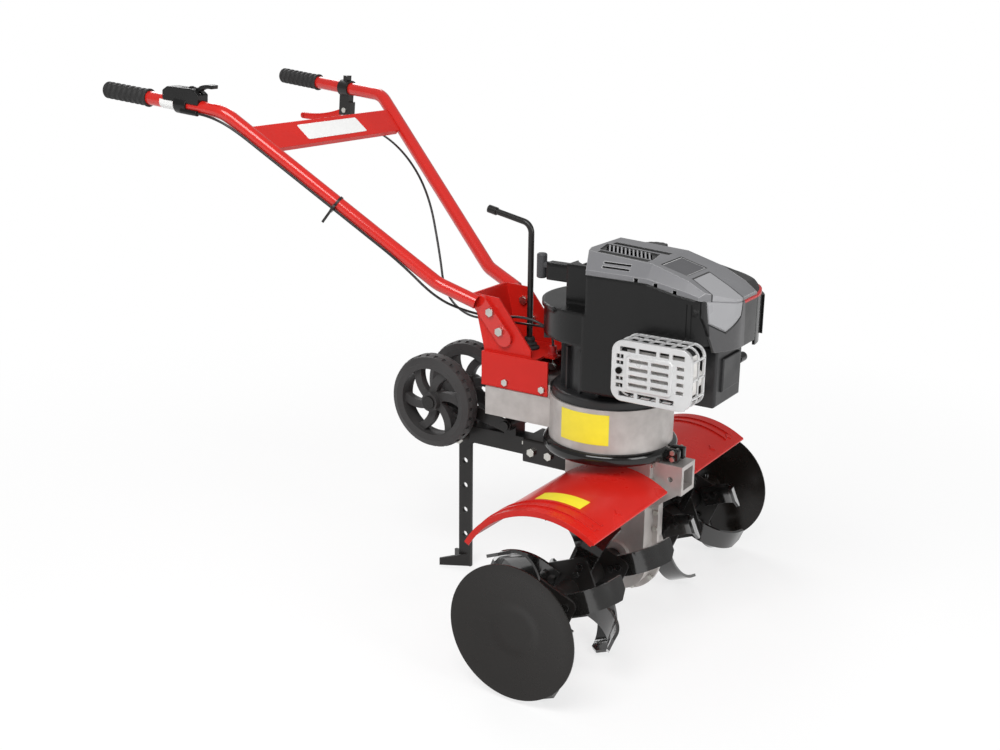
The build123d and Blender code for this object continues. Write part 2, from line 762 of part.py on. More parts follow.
def clutch_arm():
    """The flat arm that the clutch cable lifts."""
    x, z = ARM_PIVOT
    limits = (ARM_Y - ARM_T / 2, ARM_Y + ARM_T / 2)
    body = box((x, ARM_TIP_X), limits, (z - 6, z + 6))
    body += cylinder(11, (x, limits[0], z), (x, limits[1], z))
    body += cylinder(6, (ARM_TIP_X, limits[0], z), (ARM_TIP_X, limits[1], z))
    return body + cable_wire() - arm_pin_hole()


def clutch_arm_pin():
    x, z = ARM_PIVOT
    reach = ARM_T / 2 + RUN + ARM_EAR_T
    pin = cylinder(ARM_PIN_R, (x, ARM_Y - reach, z), (x, ARM_Y + reach, z))
    head = cylinder(ARM_PIN_R + 2, (x, ARM_Y - reach - 2, z), (x, ARM_Y - reach, z))
    return pin + head


# Engine: an upright-shaft motor under a moulded housing. Heights are above its mounting face.
CRANK_TOP = 190.0
BLOCK_TOP = 116.0
CYLINDER_Y = (-98.0, 14.0)
CYLINDER_Z = (36.0, 112.0)
CYLINDER_FRONT = 150.0
CYLINDER_FINS = 64.0       # the cylinder's fins start here
HEAD_FRONT = 214.0
HEAD_Z = (40.0, 150.0)
HEAD_FINS = 34.0
ROCKER_PAD_Y = (-78.0, -6.0)
ROCKER_PAD_Z = (66.0, 128.0)
ROCKER_PAD_T = 5.0
FIN_PITCH = 11.0
FIN_GAP = 6.0
FIN_DEPTH = 9.0
BLOCK_RIBS = 16
RIB_DEPTH = 8.0
RIB_T = 5.0
HOUSING_LUGS = (70.0, 150.0, 210.0)   # degrees round the crank axis
HOUSING_LUG_W = 16.0
HOUSING_LUG_H = 14.0
FLYWHEEL_R = 94.0
FLYWHEEL_Z = (128.0, 150.0)
FLYWHEEL_HUB = (24.0, 20.0)
FAN_BLADES = 14
FAN_INNER = 48.0
FAN_T = 4.0
FAN_H = 22.0
FRONT_EDGE = 158.0         # the housing's lower edge at the front
PANEL_REAR = -34.0         # the flat muffler-side panel starts here
FRONT_CORNER = (192.0, -70.0)   # the right front corner is cut off from this x to this y
CORNER_RADII = (26.0, 60.0, 100.0)
SHOULDER = ((-200.0, 258.0), (92.0, 258.0), (150.0, 246.0), (200.0, 240.0), (260.0, 222.0))
SKIRT_FRONT = 176.0
SKIRT_FOOT = 40.0
NOTCH_X = -104.0           # behind this the housing is cut down for the starter grip
NOTCH_Z = 184.0
POCKET_X = -28.0           # on the right the step reaches forward to here
POCKET_Y = -78.0
LIP_T = 4.0
LIP_H = 9.0
PANEL_GROOVES = (170.0, 179.0)
GROOVE_W = 2.4
GROOVE_DEPTH = 1.5
SCREW_AT = (186.0, 218.0)
SCREW_R = 4.5
INLET_R = 72.0
TANK_X = (-66.0, 62.0)
TANK_Y = (40.0, 104.0)
TANK_Z = (176.0, 248.0)
TANK_CORNER = 12.0
CAP_AT = (0.0, 74.0)
NECK_R = 16.0
NECK_WALL = 3.0
NECK_PROUD = 12.0
CAP_R = 25.0
CAP_H = 24.0
CAP_FLUTES = 12
FLUTE_R = 4.0
COVER_RIGHT = ENGINE_RIGHT + 1.0
COVER_WALL = 4.0
COVER_ROOF = 6.0
COVER_FOOT = 200.0         # sections of the cover start here and are cut off at the shoulder
COVER_OVERHANG = 3.0
COVER_REAR = ((-26.0, -150.0), (-62.0, -46.0))   # the slanted rear edge, seen from above
GRILLE_X = (18.0, 126.0)   # along the top from its rear edge
GRILLE_Y = (-94.0, -44.0)
GRILLE_SLANT = 22.0
GRILLE_DEPTH = 2.2
GRILLE_SLOT = 0.55         # of the pitch
TOP_GROOVES = ((24.0, 124.0, -110.0, -102.0), (14.0, 128.0, -36.0, -20.0))
LABEL_X = (10.0, 62.0)     # along the front slope
LABEL_Y = (-104.0, -24.0)
LABEL_DEPTH = 0.8
FACET_SLOT_X = (0.0, 54.0)
FACET_SLOT_ZS = (274.0, 281.0)
FACET_SLOT_H = 3.0
EDGE_NOTCHES = ((71.0, 258.0), (109.0, 254.0), (146.0, 246.0))
EDGE_NOTCH = (8.0, 7.0)
PANEL_T = 5.0
PANEL_Y = (-136.0, 12.0)
PANEL_FOOT = 146.0
PANEL_SLANT = 24.0
SHIELD = ((-132.0, 240.0), (-52.0, 240.0), (-58.0, 206.0), (-93.0, 181.0), (-126.0, 200.0))
FILTER_T = 5.0
FILTER_PAD_T = 11.0
FILTER_PAD_Y = 54.0
FILTER_REAR = 110.0
FILTER_Z = (136.0, 232.0)
FILTER_PAD_Z = (148.0, 220.0)
GUARD_X = (60.0, 212.0)
GUARD_Z = (58.0, 168.0)
GUARD_WALL = 4.0
GUARD_R = 22.0
GUARD_PANEL_T = 3.0
GUARD_SCREW = (0.1, 0.5)
GUARD_SCREW_R = 6.0
GUARD_SIDE_ROWS = (0.24, 0.46, 0.68)
GUARD_SIDE_HOLE = 17.0
GUARD_TOP_SLOTS = 5
MUFFLER_GAP = 8.0
MUFFLER_CORNER = 14.0
PORT_R = 16.0
PORT_AT = (176.0, 92.0)
PLUG_R = 9.0
PLUG_THREAD_R = 6.0
PLUG_DEPTH = 16.0
PLUG_AT = (196.0, 96.0)
GRIP_AT = (-152.0, -58.0, 246.0)
GRIP_GUIDE = 13.0
GRIP_GUIDE_Z = (-26.0, 8.0)
GRIP_BAR_R = 10.0
GRIP_BAR_Z = (-26.0, 22.0)
GRIP_BAR_BACK = 18.0
GRIP_NECK_R = 7.0
CORD_HOLE_R = 3.0

# Sections of the top cover from rear to front: place, height of the right side's upper edge,
# height of the top, right and left edges of the top, and the left side
COVER_SECTIONS = (
    (-62.0, 266.0, 284.0, -120.0, 22.0, 42.0),
    (-46.0, 268.0, COVER_TOP, -116.0, 22.0, 42.0),
    (92.0, 267.0, 290.0, -120.0, 26.0, 46.0),
    (165.0, 254.0, 270.0, -128.0, 24.0, 42.0),
    (205.0, 244.0, 252.0, -134.0, 16.0, 30.0),
    (235.0, 232.5, 236.0, -138.0, 6.0, 14.0),
)

# Slots of the muffler guard, as shares of its length and height
GUARD_FRAME_SLOTS = (
    (0.10, 0.30, 0.82, 0.90),
    (0.34, 0.56, 0.82, 0.90),
    (0.60, 0.72, 0.82, 0.90),
    (0.76, 0.91, 0.82, 0.90),
    (0.06, 0.15, 0.70, 0.77),
    (0.06, 0.15, 0.60, 0.66),
    (0.06, 0.15, 0.34, 0.40),
    (0.06, 0.15, 0.22, 0.29),
    (0.10, 0.30, 0.08, 0.16),
    (0.34, 0.58, 0.08, 0.16),
    (0.62, 0.80, 0.08, 0.16),
)
GUARD_PANEL = (0.19, 0.77, 0.20, 0.78)
GUARD_PANEL_ROWS = (0.27, 0.40, 0.53, 0.66)
GUARD_PANEL_COLUMNS = ((0.23, 0.47), (0.51, 0.73))
GUARD_EDGE_COLUMN = (0.82, 0.91)
GUARD_SLOT_SHARE = 0.06


def engine_cylinder(radius, z):
    return cylinder(radius, (WORM_X, 0, ENGINE_Z + z[0]), (WORM_X, 0, ENGINE_Z + z[1]))


def engine_box(x, y, z):
    return box(x, y, (ENGINE_Z + z[0], ENGINE_Z + z[1]))


def across_engine(radius, x, z, y):
    """A round bar across the engine."""
    return cylinder(radius, (x, y[0], ENGINE_Z + z), (x, y[1], ENGINE_Z + z))


def fins(x, y, z, step):
    """Grooves round a finned block, which leave thin plates across the X axis."""
    cuts = []
    place = x[0] + FIN_PITCH - FIN_GAP
    while place + FIN_GAP < x[1] - 2:
        slab = engine_box((place, place + FIN_GAP), (y[0] - 1, y[1] + 1), (z[0] - 1, z[1] + 1))
        core = engine_box((place, place + FIN_GAP), (y[0] + step, y[1] - step), (z[0] + step, z[1] - step))
        cuts.append(slab - core)
        place += FIN_PITCH
    return cuts


def engine_block():
    """Sump, crankcase and finned cylinder in one casting, with lugs under the housing's rim."""
    sump = fillet(engine_cylinder(SUMP_R, (0, SUMP_H)).edges().group_by(Axis.Z)[-1], 6)
    foot = SUMP_H - 6
    core = CASE_BODY_R - RIB_DEPTH
    body = sump + engine_cylinder(core, (foot, BLOCK_TOP))
    rib = engine_box((core - 4, CASE_BODY_R), (-RIB_T / 2, RIB_T / 2), (foot, BLOCK_TOP - 14))
    for number in range(BLOCK_RIBS):
        angle = 360 / BLOCK_RIBS * (number + 0.5)
        body += Pos(WORM_X, 0, 0) * Rot(0, 0, angle) * rib
    reach = (core - 4, WORM_X - ENGINE_REAR - 1)
    width = (-HOUSING_LUG_W / 2, HOUSING_LUG_W / 2)
    lug = engine_box(reach, width, (SHROUD_BASE - HOUSING_LUG_H, SHROUD_BASE))
    for angle in HOUSING_LUGS:
        body += Pos(WORM_X, 0, 0) * Rot(0, 0, angle) * lug
    finned = engine_box((0, CYLINDER_FRONT), CYLINDER_Y, CYLINDER_Z)
    body += finned - fins((CYLINDER_FINS, CYLINDER_FRONT), CYLINDER_Y, CYLINDER_Z, FIN_DEPTH)
    return body - engine_cylinder(CRANK_R + RUN, (-1, BLOCK_TOP + 1))


def cylinder_head():
    """The finned head in front of the cylinder, with its rocker cover and plug hole."""
    body = engine_box((CYLINDER_FRONT, HEAD_FRONT), CYLINDER_Y, HEAD_Z)
    body -= fins((CYLINDER_FRONT, CYLINDER_FRONT + HEAD_FINS), CYLINDER_Y, HEAD_Z, FIN_DEPTH)
    body = fillet(body.edges().group_by(Axis.X)[-1], 5)
    pad = engine_box((HEAD_FRONT - 1, HEAD_FRONT + ROCKER_PAD_T), ROCKER_PAD_Y, ROCKER_PAD_Z)
    body += fillet(pad.edges().group_by(Axis.X)[-1], 3)
    middle = (CYLINDER_Y[0] + CYLINDER_Y[1]) / 2
    port = across_engine(PORT_R + HOLE, *PORT_AT, (CYLINDER_Y[0] - 1, middle))
    seat = CYLINDER_Y[1]
    thread = across_engine(PLUG_THREAD_R + HOLE, *PLUG_AT, (seat - PLUG_DEPTH - HOLE, seat + 1))
    return body - port - thread


def spark_plug():
    """A spark plug that screws into the left side of the head, with its rubber boot."""
    x, z = PLUG_AT
    seat = CYLINDER_Y[1]
    plug = across_engine(PLUG_THREAD_R, x, z, (seat - PLUG_DEPTH, seat + 30))
    hexagon = Plane(origin=(x, seat, ENGINE_Z + z), z_dir=(0, 1, 0)) * RegularPolygon(PLUG_R + 1, 6)
    return plug + extrude(hexagon, 7) + across_engine(PLUG_R, x, z, (seat + 24, seat + 50))


def crankshaft():
    return cylinder(CRANK_R, (WORM_X, 0, AXLE_Z + CRANK_END), (WORM_X, 0, ENGINE_Z + CRANK_TOP))


def flywheel():
    """The flywheel with its ring of fan blades."""
    low, top = FLYWHEEL_Z
    hub_r, hub_h = FLYWHEEL_HUB
    body = engine_cylinder(FLYWHEEL_R, FLYWHEEL_Z) + engine_cylinder(hub_r, (top, top + hub_h))
    blade = engine_box((FAN_INNER, FLYWHEEL_R - 2), (-FAN_T / 2, FAN_T / 2), (top, top + FAN_H))
    for number in range(FAN_BLADES):
        body += Pos(WORM_X, 0, 0) * Rot(0, 0, 360 / FAN_BLADES * number) * blade
    return body - engine_cylinder(CRANK_R + HOLE / 4, (low - 1, top + hub_h + 1))


def housing_plan():
    """The housing seen from above: round behind, flat on the muffler side, blunt in front."""
    x, y = FRONT_CORNER
    corners = [(x, ENGINE_RIGHT), (ENGINE_FRONT, y), (ENGINE_FRONT, ENGINE_LEFT)]
    face = outline([(PANEL_REAR, ENGINE_RIGHT)] + corners + [(PANEL_REAR, ENGINE_LEFT)])
    for corner, radius in zip(corners, CORNER_RADII):
        face = fillet(face.vertices().sort_by_distance((*corner, 0))[0], radius)
    return face + Pos(WORM_X, 0) * Circle(WORM_X - ENGINE_REAR)


def housing_solid(grow, z):
    face = offset(housing_plan(), grow) if grow else housing_plan()
    return floor_plate(face, (ENGINE_Z + z[0], ENGINE_Z + z[1]))


def under_shoulder(drop=0.0):
    """All the room under the line where the top cover sits on the housing."""
    line = [(x, z - drop) for x, z in SHOULDER]
    side = outline(line + [(SHOULDER[-1][0], 0), (SHOULDER[0][0], 0)])
    return Pos(0, 0, ENGINE_Z) * side_plate(side, (-200, 200))


def starter_step(grow):
    """The room cut out of the housing's rear for the starter grip, grown by a wall."""
    z = (NOTCH_Z - grow, SHROUD_TOP + 1)
    rear = ENGINE_REAR - 1
    step = engine_box((rear, NOTCH_X + grow), (-200, 200), z)
    return step + engine_box((rear, POCKET_X + grow), (-200, POCKET_Y + grow), z)


def blower_housing():
    """The black housing: a shell with a flat muffler side and a step for the starter."""
    body = housing_solid(0, (SHROUD_BASE, SHROUD_TOP)) & under_shoulder()
    body -= starter_step(0)
    lip = housing_solid(LIP_T, (NOTCH_Z - LIP_H, NOTCH_Z))
    body += lip & engine_box((ENGINE_REAR - LIP_T, NOTCH_X), (-200, 200), (0, SHROUD_TOP))
    room = housing_solid(-SHROUD_WALL, (SHROUD_BASE - 1, SHROUD_TOP)) & under_shoulder(SHROUD_WALL)
    body -= room - starter_step(SHROUD_WALL)
    panel = (ENGINE_RIGHT, ENGINE_RIGHT + SHROUD_WALL)
    body += engine_box((PANEL_REAR, SKIRT_FRONT), panel, (SKIRT_FOOT, SHROUD_BASE))
    body -= engine_box((CYLINDER_FRONT - 4, 300), (ENGINE_RIGHT + SHROUD_WALL, 200), (0, FRONT_EDGE))
    body += starter_guide()
    for x in PANEL_GROOVES:
        outside = (ENGINE_RIGHT - 1, ENGINE_RIGHT + GROOVE_DEPTH)
        body -= engine_box((x, x + GROOVE_W), outside, (FRONT_EDGE + 14, SHROUD_TOP - 26))
    body += across_engine(SCREW_R, *SCREW_AT, (ENGINE_RIGHT - 1, ENGINE_RIGHT + 6))
    body -= engine_cylinder(INLET_R, (SHROUD_TOP - 10, SHROUD_TOP + 1))
    x, y = CAP_AT
    body -= cylinder(NECK_R + HOLE, (x, y, ENGINE_Z + TANK_Z[1]), (x, y, ENGINE_Z + SHROUD_TOP + 1))
    body -= across_engine(GUARD_SCREW_R / 2 + HOLE, *guard_screw_place(), panel)
    return body - across_engine(PORT_R + 2, *PORT_AT, (ENGINE_RIGHT - 1, ENGINE_RIGHT + 10))


def starter_guide():
    """The nose on the housing that the starter grip parks against."""
    x, y, z = GRIP_AT
    height = [z + lift for lift in GRIP_GUIDE_Z]
    nose = engine_box((x, NOTCH_X), (y - GRIP_GUIDE, y + GRIP_GUIDE), height)
    nose = fillet(nose.edges().filter_by(Axis.X), 5)
    return nose - cylinder(CORD_HOLE_R, (x - 1, y, ENGINE_Z + z), (x + 30, y, ENGINE_Z + z))


def starter_grip():
    """The pull grip: an upright bar with a short neck towards the housing."""
    x, y, z = GRIP_AT
    back = x - GRIP_BAR_BACK
    height = ENGINE_Z + z
    bar = cylinder(GRIP_BAR_R, (back, y, height + GRIP_BAR_Z[0]), (back, y, height + GRIP_BAR_Z[1]))
    return fillet(bar.edges(), 4) + cylinder(GRIP_NECK_R, (back + 4, y, height), (x - RUN, y, height))


def cover_section(section, wall, roof):
    """One section across the top cover, or across the room inside it."""
    x, side_z, top, right, left, left_side = section
    face = outline([
        (COVER_RIGHT + wall, COVER_FOOT),
        (COVER_RIGHT + wall, side_z - wall / 2),
        (right + wall / 2, top - roof),
        (left - wall / 2, top - roof),
        (left_side - wall, (side_z + top) / 2 - roof),
        (left_side - wall, COVER_FOOT),
    ])
    return Plane.YZ.offset(x) * face


def cover_form(wall=0.0, roof=0.0):
    """The flowing form of the top cover, or of the room inside it."""
    rows = [list(section) for section in COVER_SECTIONS]
    rows[0][0] += wall
    rows[-1][0] -= wall
    form = loft([cover_section(row, wall, roof) for row in rows], ruled=True)
    (right_x, right_y), (left_x, left_y) = COVER_REAR
    ahead = outline([
        (right_x + wall, right_y),
        (ENGINE_FRONT + 50, right_y),
        (ENGINE_FRONT + 50, ENGINE_LEFT),
        (left_x + wall, ENGINE_LEFT),
        (left_x + wall, left_y),
    ])
    plan = floor_plate(ahead, (ENGINE_Z, ENGINE_Z + COVER_TOP + 10))
    plan &= housing_solid(COVER_OVERHANG - wall, (COVER_FOOT, COVER_TOP + 10))
    return (Pos(0, 0, ENGINE_Z) * form) & plan


def cover_plane(number):
    """A plane on top of the cover, from the section with that number to the next."""
    x, z = COVER_SECTIONS[number][0], COVER_SECTIONS[number][2]
    run = COVER_SECTIONS[number + 1][0] - x
    rise = COVER_SECTIONS[number + 1][2] - z
    return Plane(origin=(x, 0, ENGINE_Z + z), x_dir=(run, 0, rise), z_dir=(-rise, 0, run))


def slanted(x, y, slant):
    """A four-sided face between two places along a plane, whose ends lean back by a slant."""
    return outline([(x[0], y[0]), (x[1], y[0]), (x[1] - slant, y[1]), (x[0] - slant, y[1])])


def top_cover():
    """The grey cover: a sunk grille of slanted slots between two grooves, and a bare label field."""
    body = cover_form() - cover_form(COVER_WALL, COVER_ROOF) - under_shoulder()
    top = cover_plane(1)
    body -= extrude(top * slanted(GRILLE_X, GRILLE_Y, GRILLE_SLANT / 2), -GRILLE_DEPTH)
    pitch = (GRILLE_X[1] - GRILLE_X[0] - GRILLE_SLANT / 2) / GRILLE_SLOTS
    inset = (GRILLE_Y[0] + 4, GRILLE_Y[1] - 4)
    for number in range(GRILLE_SLOTS):
        x = GRILLE_X[0] + GRILLE_SLANT / 2 + pitch * (number + 0.2)
        slot = slanted((x, x + pitch * GRILLE_SLOT), inset, GRILLE_SLANT)
        body -= extrude(top * slot, -2 * COVER_ROOF)
    for start, end, right, left in TOP_GROOVES:
        body -= extrude(top * slanted((start, end), (right, left), 0), -GRILLE_DEPTH)
    body -= extrude(cover_plane(2) * slanted(LABEL_X, LABEL_Y, 0), -LABEL_DEPTH)
    for z in FACET_SLOT_ZS:
        body -= engine_box(FACET_SLOT_X, (COVER_RIGHT - 1, COVER_RIGHT + 25), (z, z + FACET_SLOT_H))
    wide, high = EDGE_NOTCH
    for x, z in EDGE_NOTCHES:
        edge = (COVER_RIGHT - 1, COVER_RIGHT + COVER_WALL + 1)
        body -= engine_box((x - wide / 2, x + wide / 2), edge, (z - 6, z + high))
    return body


def front_panel():
    """The grey panel that carries the cover's line down the front, with a shield outlined on it."""
    z = (PANEL_FOOT, SHROUD_TOP)
    ring = housing_solid(PANEL_T, z) - housing_solid(HOLE / 2, (PANEL_FOOT - 1, SHROUD_TOP + 1))
    right, left = PANEL_Y
    face = outline([
        (right, SHROUD_TOP),
        (right, SHROUD_TOP - 2 * PANEL_SLANT),
        (right + PANEL_SLANT, PANEL_FOOT),
        (left, PANEL_FOOT),
        (left, SHROUD_TOP),
    ])
    lift = Pos(0, 0, ENGINE_Z)
    ahead = (CYLINDER_FRONT, ENGINE_FRONT + 50)
    body = ring & (lift * front_plate(face, ahead)) & under_shoulder()
    shield = outline(SHIELD)
    line = offset(shield, GROOVE_W / 2) - offset(shield, -GROOVE_W / 2)
    skin = housing_solid(PANEL_T + 1, z) - housing_solid(PANEL_T - GROOVE_DEPTH, z)
    return body - (skin & (lift * front_plate(line, ahead)))


def air_filter_cover():
    """The black cover over the air filter, round the left front corner, with a raised pad."""
    edge = PANEL_Y[1] + 1
    far = ENGINE_LEFT + 30
    front = ENGINE_FRONT + 50
    rear = FILTER_REAR
    whole = outline([(rear, far), (rear, ENGINE_LEFT - 30), (rear + 50, edge), (front, edge), (front, far)])
    pad = outline([(rear + 8, far), (rear + 8, FILTER_PAD_Y), (front, FILTER_PAD_Y), (front, far)])
    body = housing_solid(FILTER_T, FILTER_Z) & floor_plate(whole, (ENGINE_Z, ENGINE_Z + SHROUD_TOP))
    body += housing_solid(FILTER_PAD_T, FILTER_PAD_Z) & floor_plate(pad, (ENGINE_Z, ENGINE_Z + SHROUD_TOP))
    return (body - housing_solid(HOLE / 2, (0, SHROUD_TOP))) & under_shoulder()


def fuel_tank():
    """The tank under the housing, with its neck through the top."""
    body = engine_box(TANK_X, TANK_Y, TANK_Z)
    body = fillet(body.edges().filter_by(Axis.Z), TANK_CORNER)
    x, y = CAP_AT
    top = ENGINE_Z + SHROUD_TOP + NECK_PROUD
    neck = cylinder(NECK_R, (x, y, ENGINE_Z + TANK_Z[1] - 1), (x, y, top))
    bore = cylinder(NECK_R - NECK_WALL, (x, y, ENGINE_Z + TANK_Z[0] + 4), (x, y, top + 1))
    return body + neck - bore


def fuel_cap():
    """A fluted cap over the tank's neck."""
    x, y = CAP_AT
    low = ENGINE_Z + SHROUD_TOP + 1
    body = cylinder(CAP_R, (x, y, low), (x, y, low + CAP_H))
    for number in range(CAP_FLUTES):
        angle = 2 * pi / CAP_FLUTES * number
        flute = (x + (CAP_R + 2) * cos(angle), y + (CAP_R + 2) * sin(angle))
        body -= cylinder(FLUTE_R, (*flute, low + 6), (*flute, low + CAP_H + 1))
    seat = ENGINE_Z + SHROUD_TOP + NECK_PROUD + RUN
    return body - cylinder(NECK_R + RUN, (x, y, low - 1), (x, y, seat))


def muffler():
    """The exhaust box behind its guard, with the pipe from the head."""
    gap = GUARD_WALL + MUFFLER_GAP
    body = engine_box(
        (GUARD_X[0] + gap, GUARD_X[1] - gap),
        (MUFFLER_FACE + gap, ENGINE_RIGHT - 6),
        (GUARD_Z[0] + gap, GUARD_Z[1] - gap),
    )
    body = fillet(body.edges().filter_by(Axis.Y), MUFFLER_CORNER)
    middle = (CYLINDER_Y[0] + CYLINDER_Y[1]) / 2
    body += across_engine(PORT_R, *PORT_AT, (ENGINE_RIGHT - 8, middle - 20))
    return body - across_engine(GUARD_SCREW_R / 2 + 2, *guard_screw_place(), (MUFFLER_FACE, ENGINE_RIGHT))


def guard_block(shrink, depth):
    x = (GUARD_X[0] + shrink, GUARD_X[1] - shrink)
    z = (GUARD_Z[0] + shrink, GUARD_Z[1] - shrink)
    block = engine_box(x, depth, z)
    return fillet(block.edges().filter_by(Axis.Y), GUARD_R - shrink)


def guard_x(share):
    return GUARD_X[0] + share * (GUARD_X[1] - GUARD_X[0])


def guard_z(share):
    return GUARD_Z[0] + share * (GUARD_Z[1] - GUARD_Z[0])


def guard_window(shares, depth):
    """A block through the guard's face, given by shares of its length and height."""
    start, end, low, high = shares
    return engine_box((guard_x(start), guard_x(end)), depth, (guard_z(low), guard_z(high)))


def guard_screw_place():
    return guard_x(GUARD_SCREW[0]), guard_z(GUARD_SCREW[1])


def guard_screw():
    """The long screw that holds the guard to the housing."""
    face = MUFFLER_FACE
    head = across_engine(GUARD_SCREW_R, *guard_screw_place(), (face - 3, face))
    return head + across_engine(GUARD_SCREW_R / 2, *guard_screw_place(), (face, ENGINE_RIGHT + SHROUD_WALL))


def muffler_guard():
    """The bright guard round the exhaust box: a slotted frame with a raised, slotted middle."""
    body = guard_block(0, (MUFFLER_FACE, ENGINE_RIGHT))
    body -= guard_block(GUARD_WALL, (MUFFLER_FACE + GUARD_WALL, ENGINE_RIGHT + 1))
    raised = guard_window(GUARD_PANEL, (MUFFLER_FACE - GUARD_PANEL_T, MUFFLER_FACE + 1))
    raised = fillet(raised.edges().filter_by(Axis.Y), 8)
    body += fillet(raised.faces().sort_by(Axis.Y)[0].edges(), 2)
    face = (MUFFLER_FACE - GUARD_PANEL_T - 1, MUFFLER_FACE + GUARD_WALL + 1)
    windows = list(GUARD_FRAME_SLOTS)
    for low in GUARD_PANEL_ROWS:
        for column in GUARD_PANEL_COLUMNS + (GUARD_EDGE_COLUMN,):
            windows.append((*column, low, low + GUARD_SLOT_SHARE))
    body -= [guard_window(shares, face) for shares in windows]
    body -= across_engine(GUARD_SCREW_R / 2 + HOLE, *guard_screw_place(), face)
    half = GUARD_SIDE_HOLE / 2
    front = (GUARD_X[1] - GUARD_WALL - 1, GUARD_X[1] + 1)
    for share in GUARD_SIDE_ROWS:
        z = guard_z(share)
        for y in (MUFFLER_FACE + 18, MUFFLER_FACE + 40):
            body -= engine_box(front, (y - half, y + half), (z - half, z + half))
    depth = (MUFFLER_FACE + 12, ENGINE_RIGHT - 10)
    top = (GUARD_Z[1] - GUARD_WALL - 1, GUARD_Z[1] + 1)
    pitch = (GUARD_X[1] - GUARD_X[0] - 2 * GUARD_R) / GUARD_TOP_SLOTS
    for number in range(GUARD_TOP_SLOTS):
        start = GUARD_X[0] + GUARD_R + pitch * number
        body -= engine_box((start + 3, start + pitch - 3), depth, top)
    return body


# Fenders: arched sheets over the tines, bolted to the sides of the gearbox neck.
FENDER_FLANGE = (78.0, 128.0)     # degrees
FENDER_FLANGE_R = 164.0
FENDER_LIP = 9.0
FENDER_ROLL_R = 3.5
FENDER_MARK_YS = (205.0, 288.0)
FENDER_MARK_ANGLE = 63.0
FENDER_MARK = 11.0
FENDER_RIBS = (272.0, 298.0)
FENDER_RIB_W = 7.0
FENDER_RIB_H = 2.5


def sector(inner, outer, start, end):
    """A flat arc between two radii and two angles."""
    low = CenterArc((0, 0), inner, start, end - start)
    high = CenterArc((0, 0), outer, start, end - start)
    return make_face([low, high, Line(low @ 0, high @ 0), Line(low @ 1, high @ 1)])


def fender_left():
    outer = FENDER_R + FENDER_T
    ends = (FENDER_FRONT, FENDER_REAR)
    inside = CASE_HALF
    body = side_plate(sector(FENDER_R, outer, *ends), (inside, FENDER_OUT))
    body += side_plate(sector(FENDER_FLANGE_R, outer, *FENDER_FLANGE), (inside, inside + FENDER_T))
    body += side_plate(sector(FENDER_R - FENDER_LIP, outer, *ends), (FENDER_OUT - FENDER_T, FENDER_OUT))
    edge = radians(FENDER_FRONT)
    roll = ((FENDER_R - 1) * cos(edge), (FENDER_R - 1) * sin(edge))
    body += cylinder(FENDER_ROLL_R, (roll[0], inside, roll[1]), (roll[0], FENDER_OUT, roll[1]))
    for y in FENDER_RIBS:
        rib = sector(outer - 0.5, outer + FENDER_RIB_H, ends[0] + 5, ends[1] - 4)
        body += side_plate(rib, (y - FENDER_RIB_W / 2, y + FENDER_RIB_W / 2))
    turn = radians(FENDER_MARK_ANGLE)
    for y in FENDER_MARK_YS:
        seat = Vector(cos(turn), 0, sin(turn)) * (outer - 0.5) + Vector(0, y, 0)
        plane = Plane(origin=seat, x_dir=(0, 1, 0), z_dir=(cos(turn), 0, sin(turn)))
        body += extrude(plane * Rot(0, 0, 45) * Rectangle(FENDER_MARK, FENDER_MARK), FENDER_RIB_H)
    for x, z in FENDER_BOLTS:
        body -= bolt_hole((x, inside - 1, z), (x, inside + FENDER_T + 1, z), FENDER_BOLT_R)
    return Pos(0, 0, AXLE_Z) * body


def fender_bolts():
    solids = []
    for side in (1, -1):
        for x, z in FENDER_BOLTS:
            head = side * (CASE_HALF + FENDER_T)
            deep = side * (CASE_HALF - FENDER_BOLT_DEPTH)
            solids.append(bolt((x, head, AXLE_Z + z), (x, deep, AXLE_Z + z), FENDER_BOLT_R, nut=False))
    return solids


# Handlebar: a folded bracket on the tray, two bent tubes and a pressed crossbar.
HANDLE_BEND_R = 60.0
GRIP_CAP = 4.0
GRIP_RINGS = 9
GRIP_GROOVE = 1.6
GRIP_FLANGE = 19.0
CROSSBAR_X = -725.0
CROSSBAR_T = 3.0
CROSSBAR_LIP = 8.0
BRACKET_FOOT = 443.0
BRACKET_STEP = 512.0
BRACKET_REAR = -298.0
BRACKET_FRONT = -146.0
BRACKET_OPEN = -176.0      # the top sheet stops here, behind the clutch cable
BRACKET_PEAK = (-326.0, 624.0)
BRACKET_NOSE = (-266.0, 621.0)
BRACKET_TOE = (-190.0, 526.0)
HANDLE_BOLTS = ((-279.0, 593.0), (-257.0, 557.0))
HANDLE_BOLT_R = 5.0
TONGUE_T = 8.0
TONGUE_R = 17.0
TONGUE_END = (-249.0, 544.0)
ROD_X = -230.0
ROD_R = 6.0
ROD_HOLE = 10.0
WEB_HOLES = ((20.0, 553.0), (-46.0, 578.0))
WEB_HOLE_R = 6.0


def handle_bolt_holes():
    reach = PLATE_HALF + TONGUE_T + 1
    return [bolt_hole((x, -reach, z), (x, reach, z), HANDLE_BOLT_R) for x, z in HANDLE_BOLTS]


